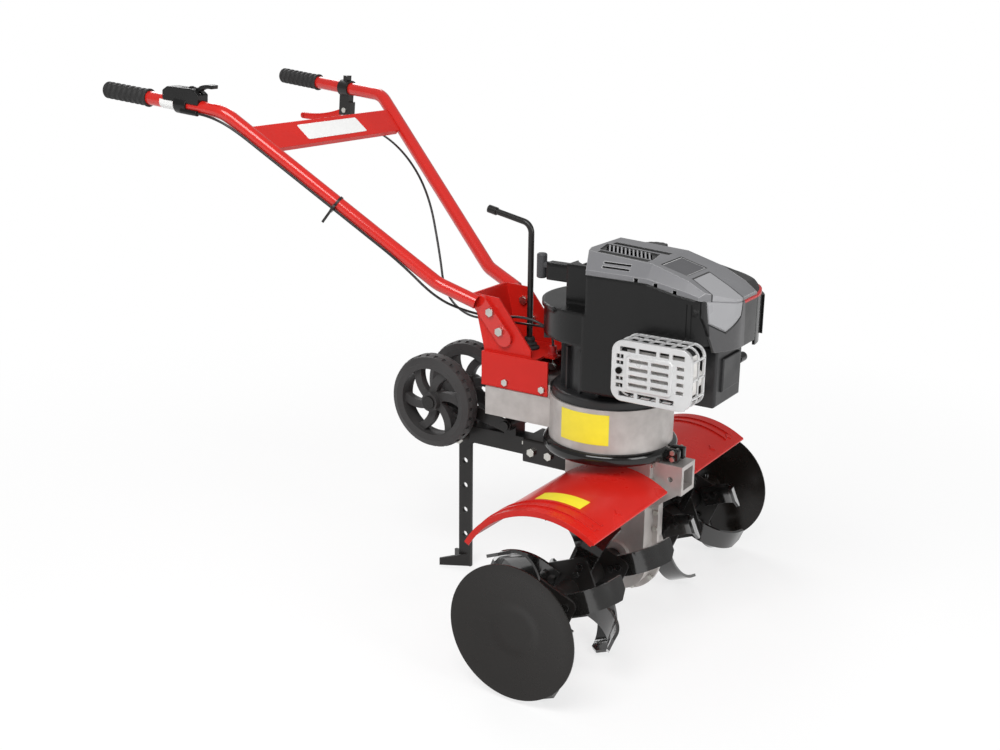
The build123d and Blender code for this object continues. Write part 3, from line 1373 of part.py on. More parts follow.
def handle_bracket():
    """The red bracket: a low box over the tray and two cheeks that hold the handle tubes."""
    body = box((BRACKET_REAR, BRACKET_FRONT), (-BOX_HALF, BOX_HALF), (BRACKET_FOOT, BRACKET_STEP))
    inner = BOX_HALF - SHEET
    body -= box((BRACKET_REAR + SHEET, 0), (-inner, inner), (0, BRACKET_STEP - SHEET))
    body -= box((BRACKET_OPEN, 0), (-inner, inner), (0, BRACKET_STEP + 1))
    x, y = ADJUSTER_AT
    body += box((BRACKET_OPEN, x + 11), (y - 12, y + 12), (BRACKET_STEP - SHEET, BRACKET_STEP))
    body -= bolt_hole((x, y, BRACKET_STEP - SHEET - 1), (x, y, BRACKET_STEP + 1), ADJUSTER_R)
    cheek = outline([
        (BRACKET_REAR, BRACKET_STEP),
        (BRACKET_TOE[0], BRACKET_STEP),
        BRACKET_TOE,
        BRACKET_NOSE,
        BRACKET_PEAK,
    ])
    body += side_plate(cheek, (-PLATE_HALF, PLATE_HALF))
    lean = outline([
        (BRACKET_REAR + SHEET, BRACKET_STEP),
        (0, BRACKET_STEP),
        (0, BRACKET_PEAK[1] + 1),
        (BRACKET_PEAK[0] + SHEET, BRACKET_PEAK[1] + 1),
    ])
    gap = PLATE_HALF - SHEET
    body -= side_plate(lean, (-gap, gap))
    body -= cylinder(ROD_HOLE, (ROD_X, 0, BRACKET_STEP - SHEET - 1), (ROD_X, 0, BRACKET_STEP + 1))
    for y, z in WEB_HOLES:
        body -= cylinder(WEB_HOLE_R, (BRACKET_PEAK[0] - 1, y, z), (BRACKET_REAR + SHEET, y, z))
    return body - handle_bolt_holes() - box_bolt_holes()


def handle_bolts():
    solids = []
    for side in (1, -1):
        outside = side * (PLATE_HALF + TONGUE_T)
        inside = side * (PLATE_HALF - SHEET)
        for x, z in HANDLE_BOLTS:
            solids.append(bolt((x, outside, z), (x, inside, z), HANDLE_BOLT_R))
    return solids


def handle_path():
    return FilletPolyline(HANDLE_END, HANDLE_BEND, HANDLE_FOOT, HANDLE_TAIL, radius=HANDLE_BEND_R)


def handle_tube_left():
    """A tube from the grip to the bracket, with its lower end pressed flat on the cheek."""
    path = handle_path()
    start = Plane(origin=path @ 0, z_dir=path % 0)
    tube = sweep(start * Circle(TUBE_R), path=path) - sweep(start * Circle(TUBE_R - TUBE_WALL), path=path)
    tail = (HANDLE_TAIL[0] + 4, HANDLE_TAIL[2] - 4)
    tongue = SlotCenterToCenter(hypot(tail[0] - TONGUE_END[0], tail[1] - TONGUE_END[1]), 2 * TONGUE_R)
    middle = ((tail[0] + TONGUE_END[0]) / 2, (tail[1] + TONGUE_END[1]) / 2)
    slope = degrees(atan2(TONGUE_END[1] - tail[1], TONGUE_END[0] - tail[0]))
    tube += side_plate(Pos(*middle) * Rot(0, 0, slope) * tongue, (PLATE_HALF, PLATE_HALF + TONGUE_T))
    return tube - handle_bolt_holes() - box((-400, 0), (0, PLATE_HALF), (0, 700))


def grip_plane():
    """A plane at the end of the left tube, with its axis along the tube towards the bend."""
    return Plane(origin=HANDLE_END, z_dir=Vector(*HANDLE_BEND) - Vector(*HANDLE_END))


def grip_left():
    """A rubber grip with rings round it, a closed end and a flange in front."""
    profile = [(0, -GRIP_CAP), (GRIP_R - 2, -GRIP_CAP), (GRIP_R, -GRIP_CAP + 2)]
    pitch = (GRIP_L - 18) / GRIP_RINGS
    for number in range(GRIP_RINGS):
        z = 4 + pitch * number
        low = GRIP_R - GRIP_GROOVE
        profile += [(GRIP_R, z), (low, z + 1), (low, z + pitch - 5), (GRIP_R, z + pitch - 4)]
    bore = TUBE_R + HOLE / 2
    profile += [(GRIP_R, GRIP_L - 8), (GRIP_FLANGE, GRIP_L - 6), (GRIP_FLANGE, GRIP_L)]
    profile += [(bore, GRIP_L), (bore, 0), (0, 0)]
    return grip_plane() * revolve(Plane.XZ * outline(profile), Axis.Z)


def crossbar():
    """A pressed sheet between the tubes, lying in their plane, with turned edges."""
    start, end = Vector(*HANDLE_BEND), Vector(*HANDLE_FOOT)
    run = Vector(end.X - start.X, 0, end.Z - start.Z)
    length = run.length
    share = (CROSSBAR_X - start.X) / (end.X - start.X)
    middle = Vector(CROSSBAR_X, 0, start.Z + (end.Z - start.Z) * share)
    narrowing = (end.Y - start.Y) / length
    room = (TUBE_R + HOLE) * sqrt(1 + narrowing ** 2)
    plane = Plane(origin=middle, x_dir=run, z_dir=run.normalized().cross(Vector(0, 1, 0)))
    reach = start.Y + (end.Y - start.Y) * share - room
    half = CROSSBAR_W / 2
    sheet = outline([
        (-half, -reach + narrowing * half),
        (half, -reach - narrowing * half),
        (half, reach + narrowing * half),
        (-half, reach - narrowing * half),
    ])
    body = extrude(plane * sheet, CROSSBAR_T)
    for edge in (-half, half - CROSSBAR_T):
        lip_reach = reach + narrowing * (edge + CROSSBAR_T / 2) - 6
        lip = Pos(edge + CROSSBAR_T / 2, 0) * Rectangle(CROSSBAR_T, 2 * lip_reach)
        body += extrude(plane * lip, -CROSSBAR_LIP)
    recess = extrude(plane.offset(CROSSBAR_T) * RectangleRounded(CROSSBAR_W - 26, 150, 6), -0.8)
    return body - recess


# Hand controls: a throttle on the right tube and a squeeze lever for the clutch on the left.
THROTTLE_X = -888.0
CLUTCH_X = -893.0
CLAMP_R = TUBE_R + 4.5
CONTROL_FIT = 0.1
THROTTLE_BODY = (
    (-46.0, 6.0),
    (-46.0, TUBE_R + 10.0),
    (-34.0, TUBE_R + 19.0),
    (30.0, TUBE_R + 22.0),
    (46.0, TUBE_R + 12.0),
    (46.0, 6.0),
)
THROTTLE_HALF = 15.0
THROTTLE_PIN_R = 3.0
THROTTLE_PIN_HALF = 11.5
THROTTLE_PAD_HALF = 9.0
NIPPLE_R = 5.5
THROTTLE_PIVOT = (20.0, TUBE_R + 14.0)
THROTTLE_DISC = 12.0
THROTTLE_T = 6.0
THROTTLE_TIP = (84.0, TUBE_R + 22.0)
LEVER_PIVOT = (2.0, -50.0)
LEVER_T = 8.0
LEVER_BOSS = 10.0
LEVER_TIP = (-135.0, -27.0)
LEVER_HORN = 24.0
LEVER_PIN_R = 4.0
CHEEK_T = 4.0
CLUTCH_CLAMP_L = 28.0
CLUTCH_BLOCK_Z = (-32.0, -8.0)
CLUTCH_CHEEK_X = (-14.0, 20.0)
CLUTCH_CHEEK_Z = (-62.0, -30.0)
CLUTCH_STOP_X = (16.0, 20.0)
CLUTCH_STOP_Z = -88.0
CLUTCH_LUG = (5.0, 10.0)
CABLE_R = 2.5
CABLE_SEAT = (TUBE_R + 0.5, 4.0 - TUBE_R)


def tube_plane(start, end, x):
    """A plane on a tube's axis at a place along the machine: x forward along the tube, z up."""
    share = (x - start[0]) / (end[0] - start[0])
    run = Vector(*end) - Vector(*start)
    across = Vector(0, 0, 1).cross(run).normalized()
    return Plane(origin=Vector(*start) + run * share, x_dir=run, z_dir=run.normalized().cross(across))


def top_plane(x):
    return tube_plane(HANDLE_END, HANDLE_BEND, x)


def clamp_ring(length):
    ring = cylinder(CLAMP_R, (-length / 2, 0, 0), (length / 2, 0, 0))
    return ring - tube_room(length)


def tube_room(length):
    return cylinder(TUBE_R + CONTROL_FIT, (-length, 0, 0), (length, 0, 0))


def throttle_housing():
    side = outline(THROTTLE_BODY)
    front = THROTTLE_BODY[-1][0]
    body = fillet(side_plate(side, (-THROTTLE_HALF, THROTTLE_HALF)).edges().filter_by(Axis.Y), 3)
    body += cylinder(NIPPLE_R, (4, *CABLE_SEAT), (front, *CABLE_SEAT)) + clamp_ring(2 * THROTTLE_HALF)
    body -= tube_room(60)
    gap = THROTTLE_T / 2 + RUN
    x, z = THROTTLE_PIVOT
    body -= cylinder(THROTTLE_DISC + RUN, (x, -gap, z), (x, gap, z))
    body -= box((-8, front + 4), (-gap, gap), (z - 3, 2 * z))
    reach = THROTTLE_PIN_HALF + 0.5
    body -= cylinder(THROTTLE_PIN_R + HOLE, (x, -reach, z), (x, reach, z))
    return left_right(top_plane(THROTTLE_X) * body, -1)


def throttle_lever():
    half = THROTTLE_T / 2
    x, z = THROTTLE_PIVOT
    reach = THROTTLE_PIN_HALF
    body = cylinder(THROTTLE_DISC, (x, -half, z), (x, half, z))
    body += cylinder(THROTTLE_PIN_R, (x, -reach, z), (x, reach, z))
    tip_x, tip_z = THROTTLE_TIP
    under = [(x, z - 2), (x + 16, z + 1), (tip_x - 6, tip_z - 6)]
    arm = outline(under + [THROTTLE_TIP, (x + 30, z + 17), (x, z + 11)])
    body += side_plate(arm, (-half, half))
    pad = outline([(58, 29), (tip_x - 4, tip_z - 3), (tip_x - 2, tip_z + 4), (56, 38)])
    body += side_plate(pad, (-THROTTLE_PAD_HALF, THROTTLE_PAD_HALF))
    return left_right(top_plane(THROTTLE_X) * body, -1)


def clutch_bracket():
    inner = LEVER_T / 2 + RUN
    outer = inner + CHEEK_T
    half = CLUTCH_CLAMP_L / 2
    width = (-outer, outer)
    lug_half, lug_h = CLUTCH_LUG
    body = clamp_ring(CLUTCH_CLAMP_L) + box((-half, half), width, CLUTCH_BLOCK_Z)
    body += box((-lug_half, lug_half), width, (CLAMP_R - 3, CLAMP_R + lug_h))
    body += box(CLUTCH_CHEEK_X, width, CLUTCH_CHEEK_Z)
    body += box(CLUTCH_STOP_X, width, (CLUTCH_STOP_Z, CLUTCH_CHEEK_Z[1]))
    slot_top = CLUTCH_CHEEK_Z[1] - CHEEK_T
    body -= box((-half - 1, CLUTCH_STOP_X[0]), (-inner, inner), (CLUTCH_STOP_Z - 1, slot_top))
    x, z = LEVER_PIVOT
    body -= cylinder(LEVER_PIN_R + HOLE, (x, -outer - 1, z), (x, outer + 1, z))
    height = z - LEVER_HORN
    body -= cylinder(CABLE_R + HOLE, (CLUTCH_STOP_X[0] - 1, 0, height), (CLUTCH_STOP_X[1] + 1, 0, height))
    return top_plane(CLUTCH_X) * (body - tube_room(60))


def clutch_lever():
    """The squeeze lever with its horn for the cable."""
    half = LEVER_T / 2
    boss = Circle(LEVER_BOSS)
    tip_x, tip_z = LEVER_TIP
    top = [(0, -LEVER_BOSS), (0, LEVER_BOSS), (-50, 0)]
    arm = outline(top + [(tip_x, tip_z + 7), (tip_x, tip_z - 7), (-52, -18)])
    horn = Pos(0, -LEVER_HORN / 2) * Rectangle(12, LEVER_HORN) + Pos(0, -LEVER_HORN) * Circle(6)
    face = boss + arm + horn + Pos(tip_x, tip_z) * Circle(7)
    x, z = LEVER_PIVOT
    body = Pos(x, 0, z) * side_plate(face, (-half, half))
    body -= cylinder(LEVER_PIN_R + HOLE, (x, -20, z), (x, 20, z))
    return top_plane(CLUTCH_X) * body


def lever_pin():
    x, z = LEVER_PIVOT
    reach = LEVER_T / 2 + RUN + CHEEK_T
    pin = cylinder(LEVER_PIN_R, (x, -reach, z), (x, reach, z))
    pin += cylinder(6, (x, -reach - 3, z), (x, -reach, z))
    pin += cylinder(6, (x, reach, z), (x, reach + 3, z))
    return top_plane(CLUTCH_X) * pin


# Cables: each runs from its control, through the bracket's rear sheet, to what it works.
ADJUSTER_AT = (-164.0, -20.0)
ADJUSTER_Z = (506.0, 532.0)
ADJUSTER_R = 7.5
ADJUSTER_BORE = 5.5
ADJUSTER_NUT_R = 11.0
WIRE_R = 1.2
CLUTCH_LEAD = (14.0, 34.0, 72.0)   # straight out of the lever's bracket, along the tube
CLUTCH_HANG = (
    (-690.0, 200.0, 852.0),
    (-595.0, 165.0, 770.0),
    (-530.0, 115.0, 650.0),
    (-490.0, 75.0, 575.0),
    (-400.0, 24.0, 548.0),
)
CLUTCH_HOLE_X = (-330.0, -290.0)
CLUTCH_TURN = (-225.0, -26.0)
CLUTCH_TURN_Z = ENGINE_Z + 113.6
THROTTLE_BY_TUBE = (25.0, 90.0, -130.0, -60.0)   # from the tube's bend, then from its foot
THROTTLE_DROP = (-395.0, 86.0, 606.0)
THROTTLE_HOLE_X = (-340.0, -285.0)
THROTTLE_LOOP = (-200.0, 46.0, ENGINE_Z + 135.6)
THROTTLE_END = (30.0, ENGINE_Z + 107.6)
STRAIGHT = 0.5             # degrees between legs that count as one straight run
TIE_X = -576.0


def cable(points):
    """A cable along arcs at its guide points, each as wide as the legs on both sides allow."""
    guides = [Vector(*point) for point in points]
    last = len(guides) - 2
    edges = []
    here = guides[0]
    for i in range(1, last + 1):
        leg_in = guides[i] - guides[i - 1]
        leg_out = guides[i + 1] - guides[i]
        if leg_in.get_angle(leg_out) < STRAIGHT:
            continue
        room_in = leg_in.length * (1 if i == 1 else 0.5)
        room_out = leg_out.length * (1 if i == last else 0.5)
        reach = 0.99 * min(room_in, room_out)
        start = guides[i] - leg_in.normalized() * reach
        end = guides[i] + leg_out.normalized() * reach
        edges += [Line(here, start), TangentArc(start, end, tangent=leg_in)]
        here = end
    path = Wire(edges + [Line(here, guides[-1])])
    return sweep(Plane(origin=path @ 0, z_dir=path % 0) * Circle(CABLE_R), path=path)


def clutch_cable():
    height = LEVER_PIVOT[1] - LEVER_HORN
    lead = [top_plane(CLUTCH_X).from_local_coords(Vector(x, 0, height)) for x in CLUTCH_LEAD]
    through = [(x, *WEB_HOLES[0]) for x in CLUTCH_HOLE_X]
    turn = [(*CLUTCH_TURN, CLUTCH_TURN_Z), (*ADJUSTER_AT, CLUTCH_TURN_Z)]
    end = (*ADJUSTER_AT, ADJUSTER_Z[1] + HOLE)
    return cable(lead + list(CLUTCH_HANG) + through + turn + [end])


def beside_tube(start, end, x):
    return tube_plane(start, end, x).from_local_coords(Vector(0, *CABLE_SEAT))


def throttle_cable():
    """Drawn for the left and mirrored: it follows the outer underside of the tube."""
    y, hole_z = WEB_HOLES[1]
    front = THROTTLE_BODY[-1][0] + HOLE
    start = top_plane(THROTTLE_X).from_local_coords(Vector(front, *CABLE_SEAT))
    end_y, end_z = THROTTLE_END
    end_x = WORM_X - sqrt((CASE_BODY_R - RIB_DEPTH) ** 2 - end_y ** 2) - 1
    after_bend, run_on, run_off, leave = THROTTLE_BY_TUBE
    bend, foot = HANDLE_BEND[0], HANDLE_FOOT[0]
    places = (bend + after_bend, bend + run_on, foot + run_off, foot + leave)
    along = [beside_tube(HANDLE_END, HANDLE_BEND, bend - after_bend)]
    along += [beside_tube(HANDLE_BEND, HANDLE_FOOT, x) for x in places]
    through = [(x, -y, hole_z) for x in THROTTLE_HOLE_X]
    end = [(end_x - 30, end_y, end_z), (end_x, end_y, end_z)]
    line = cable([start] + along + [THROTTLE_DROP] + through + [THROTTLE_LOOP] + end)
    return left_right(line, -1)


def cable_adjuster():
    """The red sleeve that the clutch cable ends in, seated on the bracket's tab by its nut."""
    x, y = ADJUSTER_AT
    body = cylinder(ADJUSTER_R, (x, y, ADJUSTER_Z[0]), (x, y, ADJUSTER_Z[1]))
    nut = extrude(Plane(origin=(x, y, BRACKET_STEP)) * RegularPolygon(ADJUSTER_NUT_R, 6), 5)
    return body + nut - cylinder(ADJUSTER_BORE, (x, y, 0), (x, y, ADJUSTER_Z[1] - 10))


def cable_wire():
    """The bare end of the clutch cable, fixed to the clutch arm."""
    x, y = ADJUSTER_AT
    z = ARM_PIVOT[1] + 6
    return cylinder(WIRE_R, (x, y, z - 1), (x, y, z + 16))


def cable_tie():
    """A plastic tie round the right tube and its cable, with a cut tail."""
    around = TUBE_R + 2 * CABLE_R + 2
    hull = Circle(TUBE_R + 1.6) + Pos(CABLE_SEAT[0] * 0.8, CABLE_SEAT[1] * 0.8) * Circle(around - 10)
    room = Circle(TUBE_R + HOLE) + Pos(*CABLE_SEAT) * Circle(CABLE_R + 2 * RUN)
    band = front_plate(hull - room, (-2.5, 2.5))
    band += box((-2.5, 2.5), (CABLE_SEAT[0] + 3, CABLE_SEAT[0] + 5), (-44, CABLE_SEAT[1]))
    plane = tube_plane(HANDLE_BEND, HANDLE_FOOT, TIE_X)
    return left_right(plane * band, -1)


# Gear rod: a bent rod that stands in the tray and turns to pick the gear.
ROD_FOOT = 442.0
ROD_BEND_Z = 762.0
ROD_TIP = (-326.0, 782.0)
ROD_CAP_R = 8.0
ROD_BEND_R = 22.0
ROD_CAP_L = 16.0
BOOT_STEPS = ((20.0, 4.0), (15.0, 7.0), (15.0, 11.0), (11.0, 14.0), (11.0, 20.0), (9.0, 24.0))


def gear_rod():
    points = [(ROD_X, 0, ROD_FOOT), (ROD_X, 0, ROD_BEND_Z), (ROD_TIP[0], 0, ROD_TIP[1])]
    path = FilletPolyline(*points, radius=ROD_BEND_R)
    rod = sweep(Plane(origin=path @ 0, z_dir=path % 0) * Circle(ROD_R), path=path)
    run = path % 1
    tip = path @ 1
    return rod + cylinder(ROD_CAP_R, tuple(tip - run * ROD_CAP_L), tuple(tip + run * 3))


def rod_hole():
    return cylinder(ROD_R + RUN, (ROD_X, 0, ROD_FOOT - 1), (ROD_X, 0, BELL_Z + TRAY_TOP + 1))


def rod_boot():
    bore = ROD_R + RUN
    points = [(bore, 0), (BOOT_STEPS[0][0], 0), *BOOT_STEPS, (bore, BOOT_STEPS[-1][1])]
    return Pos(ROD_X, 0, BRACKET_STEP) * revolve(Plane.XZ * outline(points), Axis.Z)


# Drag bar: a square tube held in a clamp block behind the gearbox, with a sleeve for the spur.
CLAMP_BOLTS = ((29.0, 296.0), (-29.0, 324.0))
CLAMP_BOLT_R = 4.0
CLAMP_BOLT_DEPTH = 14.0
BAR_BOLT_XS = (-196.0, -156.0)
BAR_BOLT_R = 5.0
BAR_Z = (CLAMP_Z[0] + CLAMP_Z[1]) / 2
SLEEVE_X = 21.0
SLEEVE_Y = 10.0
SLEEVE_Z = (284.0, 336.0)
PIVOT_AT = (-262.0, 352.0)
PIVOT_R = 6.0
LUG_R = 14.0
ARM_INNER = 32.0          # the wheel arms run outside the drag bar and the spur's pin
SPUR_PIN_Z = 297.5
SPUR_PIN_R = 5.5
SPUR_PIN_TRAVEL = 14.0
SPUR_KNOB_R = 10.0


def clamp_bolt_holes():
    deep = NECK_REAR + CLAMP_BOLT_DEPTH + HOLE
    return [bolt_hole((CLAMP_REAR - 1, y, z), (deep, y, z), CLAMP_BOLT_R) for y, z in CLAMP_BOLTS]


def clamp_bolts():
    deep = NECK_REAR + CLAMP_BOLT_DEPTH
    return [bolt((CLAMP_REAR, y, z), (deep, y, z), CLAMP_BOLT_R, nut=False) for y, z in CLAMP_BOLTS]


def bar_bolt_holes():
    reach = CASE_HALF + 1
    return [bolt_hole((x, -reach, BAR_Z), (x, reach, BAR_Z), BAR_BOLT_R) for x in BAR_BOLT_XS]


def bar_bolts():
    return [bolt((x, -CASE_HALF, BAR_Z), (x, CASE_HALF, BAR_Z), BAR_BOLT_R) for x in BAR_BOLT_XS]


def bar_clamp():
    """The block on the back of the gearbox that holds the drag bar."""
    body = box((CLAMP_REAR, NECK_REAR), (-CASE_HALF, CASE_HALF), CLAMP_Z)
    body = fillet(body.edges().filter_by(Axis.X), 5)
    reach = BAR_SIDE / 2 + HOLE
    body -= box((CLAMP_REAR - 1, BAR_FRONT), (-reach, reach), (BAR_Z - reach, BAR_Z + reach))
    return body - bar_bolt_holes() - clamp_bolt_holes()


def drag_bar():
    """The square tube with the spur's sleeve and the lug for the wheel arms welded on."""
    half = BAR_SIDE / 2
    sleeve_front = SPUR_X + SLEEVE_X
    body = box((sleeve_front, BAR_FRONT), (-half, half), (BAR_Z - half, BAR_Z + half))
    hollow = half - BAR_WALL
    body -= box((sleeve_front + BAR_WALL, BAR_FRONT + 1), (-hollow, hollow), (BAR_Z - hollow, BAR_Z + hollow))
    body += box((SPUR_X - SLEEVE_X, sleeve_front), (-SLEEVE_Y, SLEEVE_Y), SLEEVE_Z)
    x, z = PIVOT_AT
    lug_half = ARM_INNER - RUN
    body += box((x - LUG_R, x + LUG_R), (-half, half), (BAR_Z + half, z))
    body += cylinder(LUG_R, (x, -lug_half, z), (x, lug_half, z))
    body -= cylinder(PIVOT_R + RUN, (x, -lug_half - 1, z), (x, lug_half + 1, z))
    slot = (SPUR_W / 2 + RUN, SPUR_T / 2 + RUN)
    body -= box((SPUR_X - slot[0], SPUR_X + slot[0]), (-slot[1], slot[1]), (SLEEVE_Z[0] - 1, SLEEVE_Z[1] + 1))
    reach = SLEEVE_Y + 1
    body -= cylinder(SPUR_PIN_R + RUN, (SPUR_X, -reach, SPUR_PIN_Z), (SPUR_X, reach, SPUR_PIN_Z))
    return body - bar_bolt_holes()


# Spur: a flat bar with holes, on a forked foot that drags in the soil.
SPUR_HOLES = 7
WING_L = 66.0
WING_T = 6.0
WING_H = 30.0
WING_ANGLE = 28.0


def spur():
    half = SPUR_W / 2
    body = box((SPUR_X - half, SPUR_X + half), (-SPUR_T / 2, SPUR_T / 2), (0, SPUR_TOP))
    for number in range(SPUR_HOLES):
        z = SPUR_PIN_Z + SPUR_PITCH * (2 - number)
        body -= cylinder(SPUR_HOLE_R, (SPUR_X, -SPUR_T, z), (SPUR_X, SPUR_T, z))
    slope = outline([(0, 0), (WING_L, 0), (WING_L, WING_H * 0.5), (0, WING_H)])
    wing = side_plate(slope, (-WING_T / 2, WING_T / 2))
    for side in (1, -1):
        body += Pos(SPUR_X + half - 4, 0, 0) * Rot(0, 0, 180 - side * WING_ANGLE) * wing
    return body


def spur_pin():
    """The pin that locks the spur, drawn back so that its nose is just clear of the bar."""
    nose = -SPUR_T / 2 - RUN
    neck = -SLEEVE_Y - SPUR_PIN_TRAVEL - RUN
    pin = cylinder(SPUR_PIN_R, (SPUR_X, neck, SPUR_PIN_Z), (SPUR_X, nose, SPUR_PIN_Z))
    return pin + cylinder(SPUR_KNOB_R, (SPUR_X, neck - 6, SPUR_PIN_Z), (SPUR_X, neck, SPUR_PIN_Z))


# Transport wheels: two arms on a cross pin in the drag bar's lug, with a wheel on each.
ARM_OUTER = ARM_INNER + 6.0
ARM_W = 13.0
STUB_R = 8.0
COLLAR_R = 13.0
HUB_OUTER_R = 22.0
RIM_R = 70.0
SPOKES = 6
SPOKE_W = 17.0
SPOKE_T = 16.0
SPOKE_BOW = 58.0
TYRE_SIDE = 16.0           # depth of the tyre's flat side ring below the tread
TYRE_ROUND = (4.0, 5.0, 14.0)
WHEEL_CAP_R = 14.0
CAP_T = 4.0
TREAD_BLOCKS = 30
TREAD_GAP = 7.0
TREAD_DEPTH = 3.0
TREAD_REACH = 16.0


def wheel_arm_left():
    x, z = PIVOT_AT
    length = hypot(WHEEL_X - x, WHEEL_Z - z)
    slope = degrees(atan2(WHEEL_Z - z, WHEEL_X - x))
    middle = ((x + WHEEL_X) / 2, (z + WHEEL_Z) / 2)
    bar = Pos(*middle) * Rot(0, 0, slope) * SlotCenterToCenter(length, 2 * ARM_W)
    body = side_plate(bar, (ARM_INNER, ARM_OUTER))
    inner = WHEEL_OUT - WHEEL_W
    body += cylinder(COLLAR_R, (WHEEL_X, ARM_OUTER, WHEEL_Z), (WHEEL_X, inner - RUN, WHEEL_Z))
    body += cylinder(STUB_R, (WHEEL_X, ARM_OUTER, WHEEL_Z), (WHEEL_X, WHEEL_OUT + RUN + CAP_T, WHEEL_Z))
    return body - cylinder(PIVOT_R + HOLE, (x, ARM_INNER - 1, z), (x, ARM_OUTER + 1, z))


def arm_pivot_pin():
    x, z = PIVOT_AT
    pin = cylinder(PIVOT_R, (x, -ARM_OUTER, z), (x, ARM_OUTER, z))
    for side in (1, -1):
        pin += cylinder(PIVOT_R + 4, (x, side * ARM_OUTER, z), (x, side * (ARM_OUTER + 4), z))
    return pin


def wheel_caps():
    solids = []
    for side in (1, -1):
        ends = [(WHEEL_X, side * y, WHEEL_Z) for y in (WHEEL_OUT + RUN, WHEEL_OUT + RUN + CAP_T)]
        solids.append(cylinder(WHEEL_CAP_R, *ends) - cylinder(STUB_R + HOLE / 2, *ends))
    return solids


def spoke():
    """A curved spoke: a bent strip from the hub to the rim."""
    reach = RIM_R + 4
    bow = SPOKE_BOW
    middle = (reach / 2, -sqrt(bow ** 2 - (reach / 2) ** 2))
    outer = Pos(*middle) * Circle(bow + SPOKE_W / 2)
    strip = outer - Pos(*middle) * Circle(bow - SPOKE_W / 2)
    return strip & Pos(reach / 2, reach / 2) * Rectangle(reach, reach + 10)


def tread_gaps():
    """The gaps between the tread blocks on both shoulders, staggered by half a block."""
    half = WHEEL_W / 2
    depth = (WHEEL_R - TREAD_DEPTH, WHEEL_R + 1)
    width = (-TREAD_GAP / 2, TREAD_GAP / 2)
    pitch = 360 / TREAD_BLOCKS
    cuts = []
    for number in range(TREAD_BLOCKS):
        cuts.append(Rot(0, pitch * number, 0) * box(depth, (half - TREAD_REACH, half + 1), width))
        cuts.append(Rot(0, pitch * (number + 0.5), 0) * box(depth, (-half - 1, TREAD_REACH - half), width))
    return cuts


def wheel_left():
    """A one-piece wheel: blocked tread, rim, six curved spokes and a hub."""
    half = WHEEL_W / 2
    drop, corner, crown = TYRE_ROUND
    right = [
        (RIM_R, -half + drop),
        (WHEEL_R - TYRE_SIDE, -half),
        (WHEEL_R - drop, -half + corner),
        (WHEEL_R, -half + crown),
    ]
    tyre = outline(right + [(r, -y) for r, y in reversed(right)])
    body = revolve(Plane.XY * tyre, Axis.Y) - tread_gaps()
    face = Circle(HUB_OUTER_R)
    arm = spoke() & Circle(RIM_R + 2)
    for number in range(SPOKES):
        face += Rot(0, 0, 360 / SPOKES * number) * arm
    body += side_plate(face, (-SPOKE_T / 2, SPOKE_T / 2))
    body += cylinder(HUB_OUTER_R - 3, (0, -half, 0), (0, half, 0))
    body -= cylinder(STUB_R + RUN, (0, -half - 1, 0), (0, half + 1, 0))
    return Pos(WHEEL_X, WHEEL_OUT - half, WHEEL_Z) * body


def both(make):
    """A group of the left piece and its mirror image."""
    piece = make()
    return [piece, left_right(piece, -1)]


def mirrored(solids):
    return solids + [left_right(solid, -1) for solid in solids]


left_tines = tines(AXLE_Z)
pins = [hub_pin(y, HUB_R) for y in HUB_PIN_YS] + [hub_pin(DISC_PIN_Y, DISC_SLEEVE_R)]

screws = fender_bolts() + box_bolts() + handle_bolts() + clamp_bolts() + bar_bolts() + [guard_screw()]

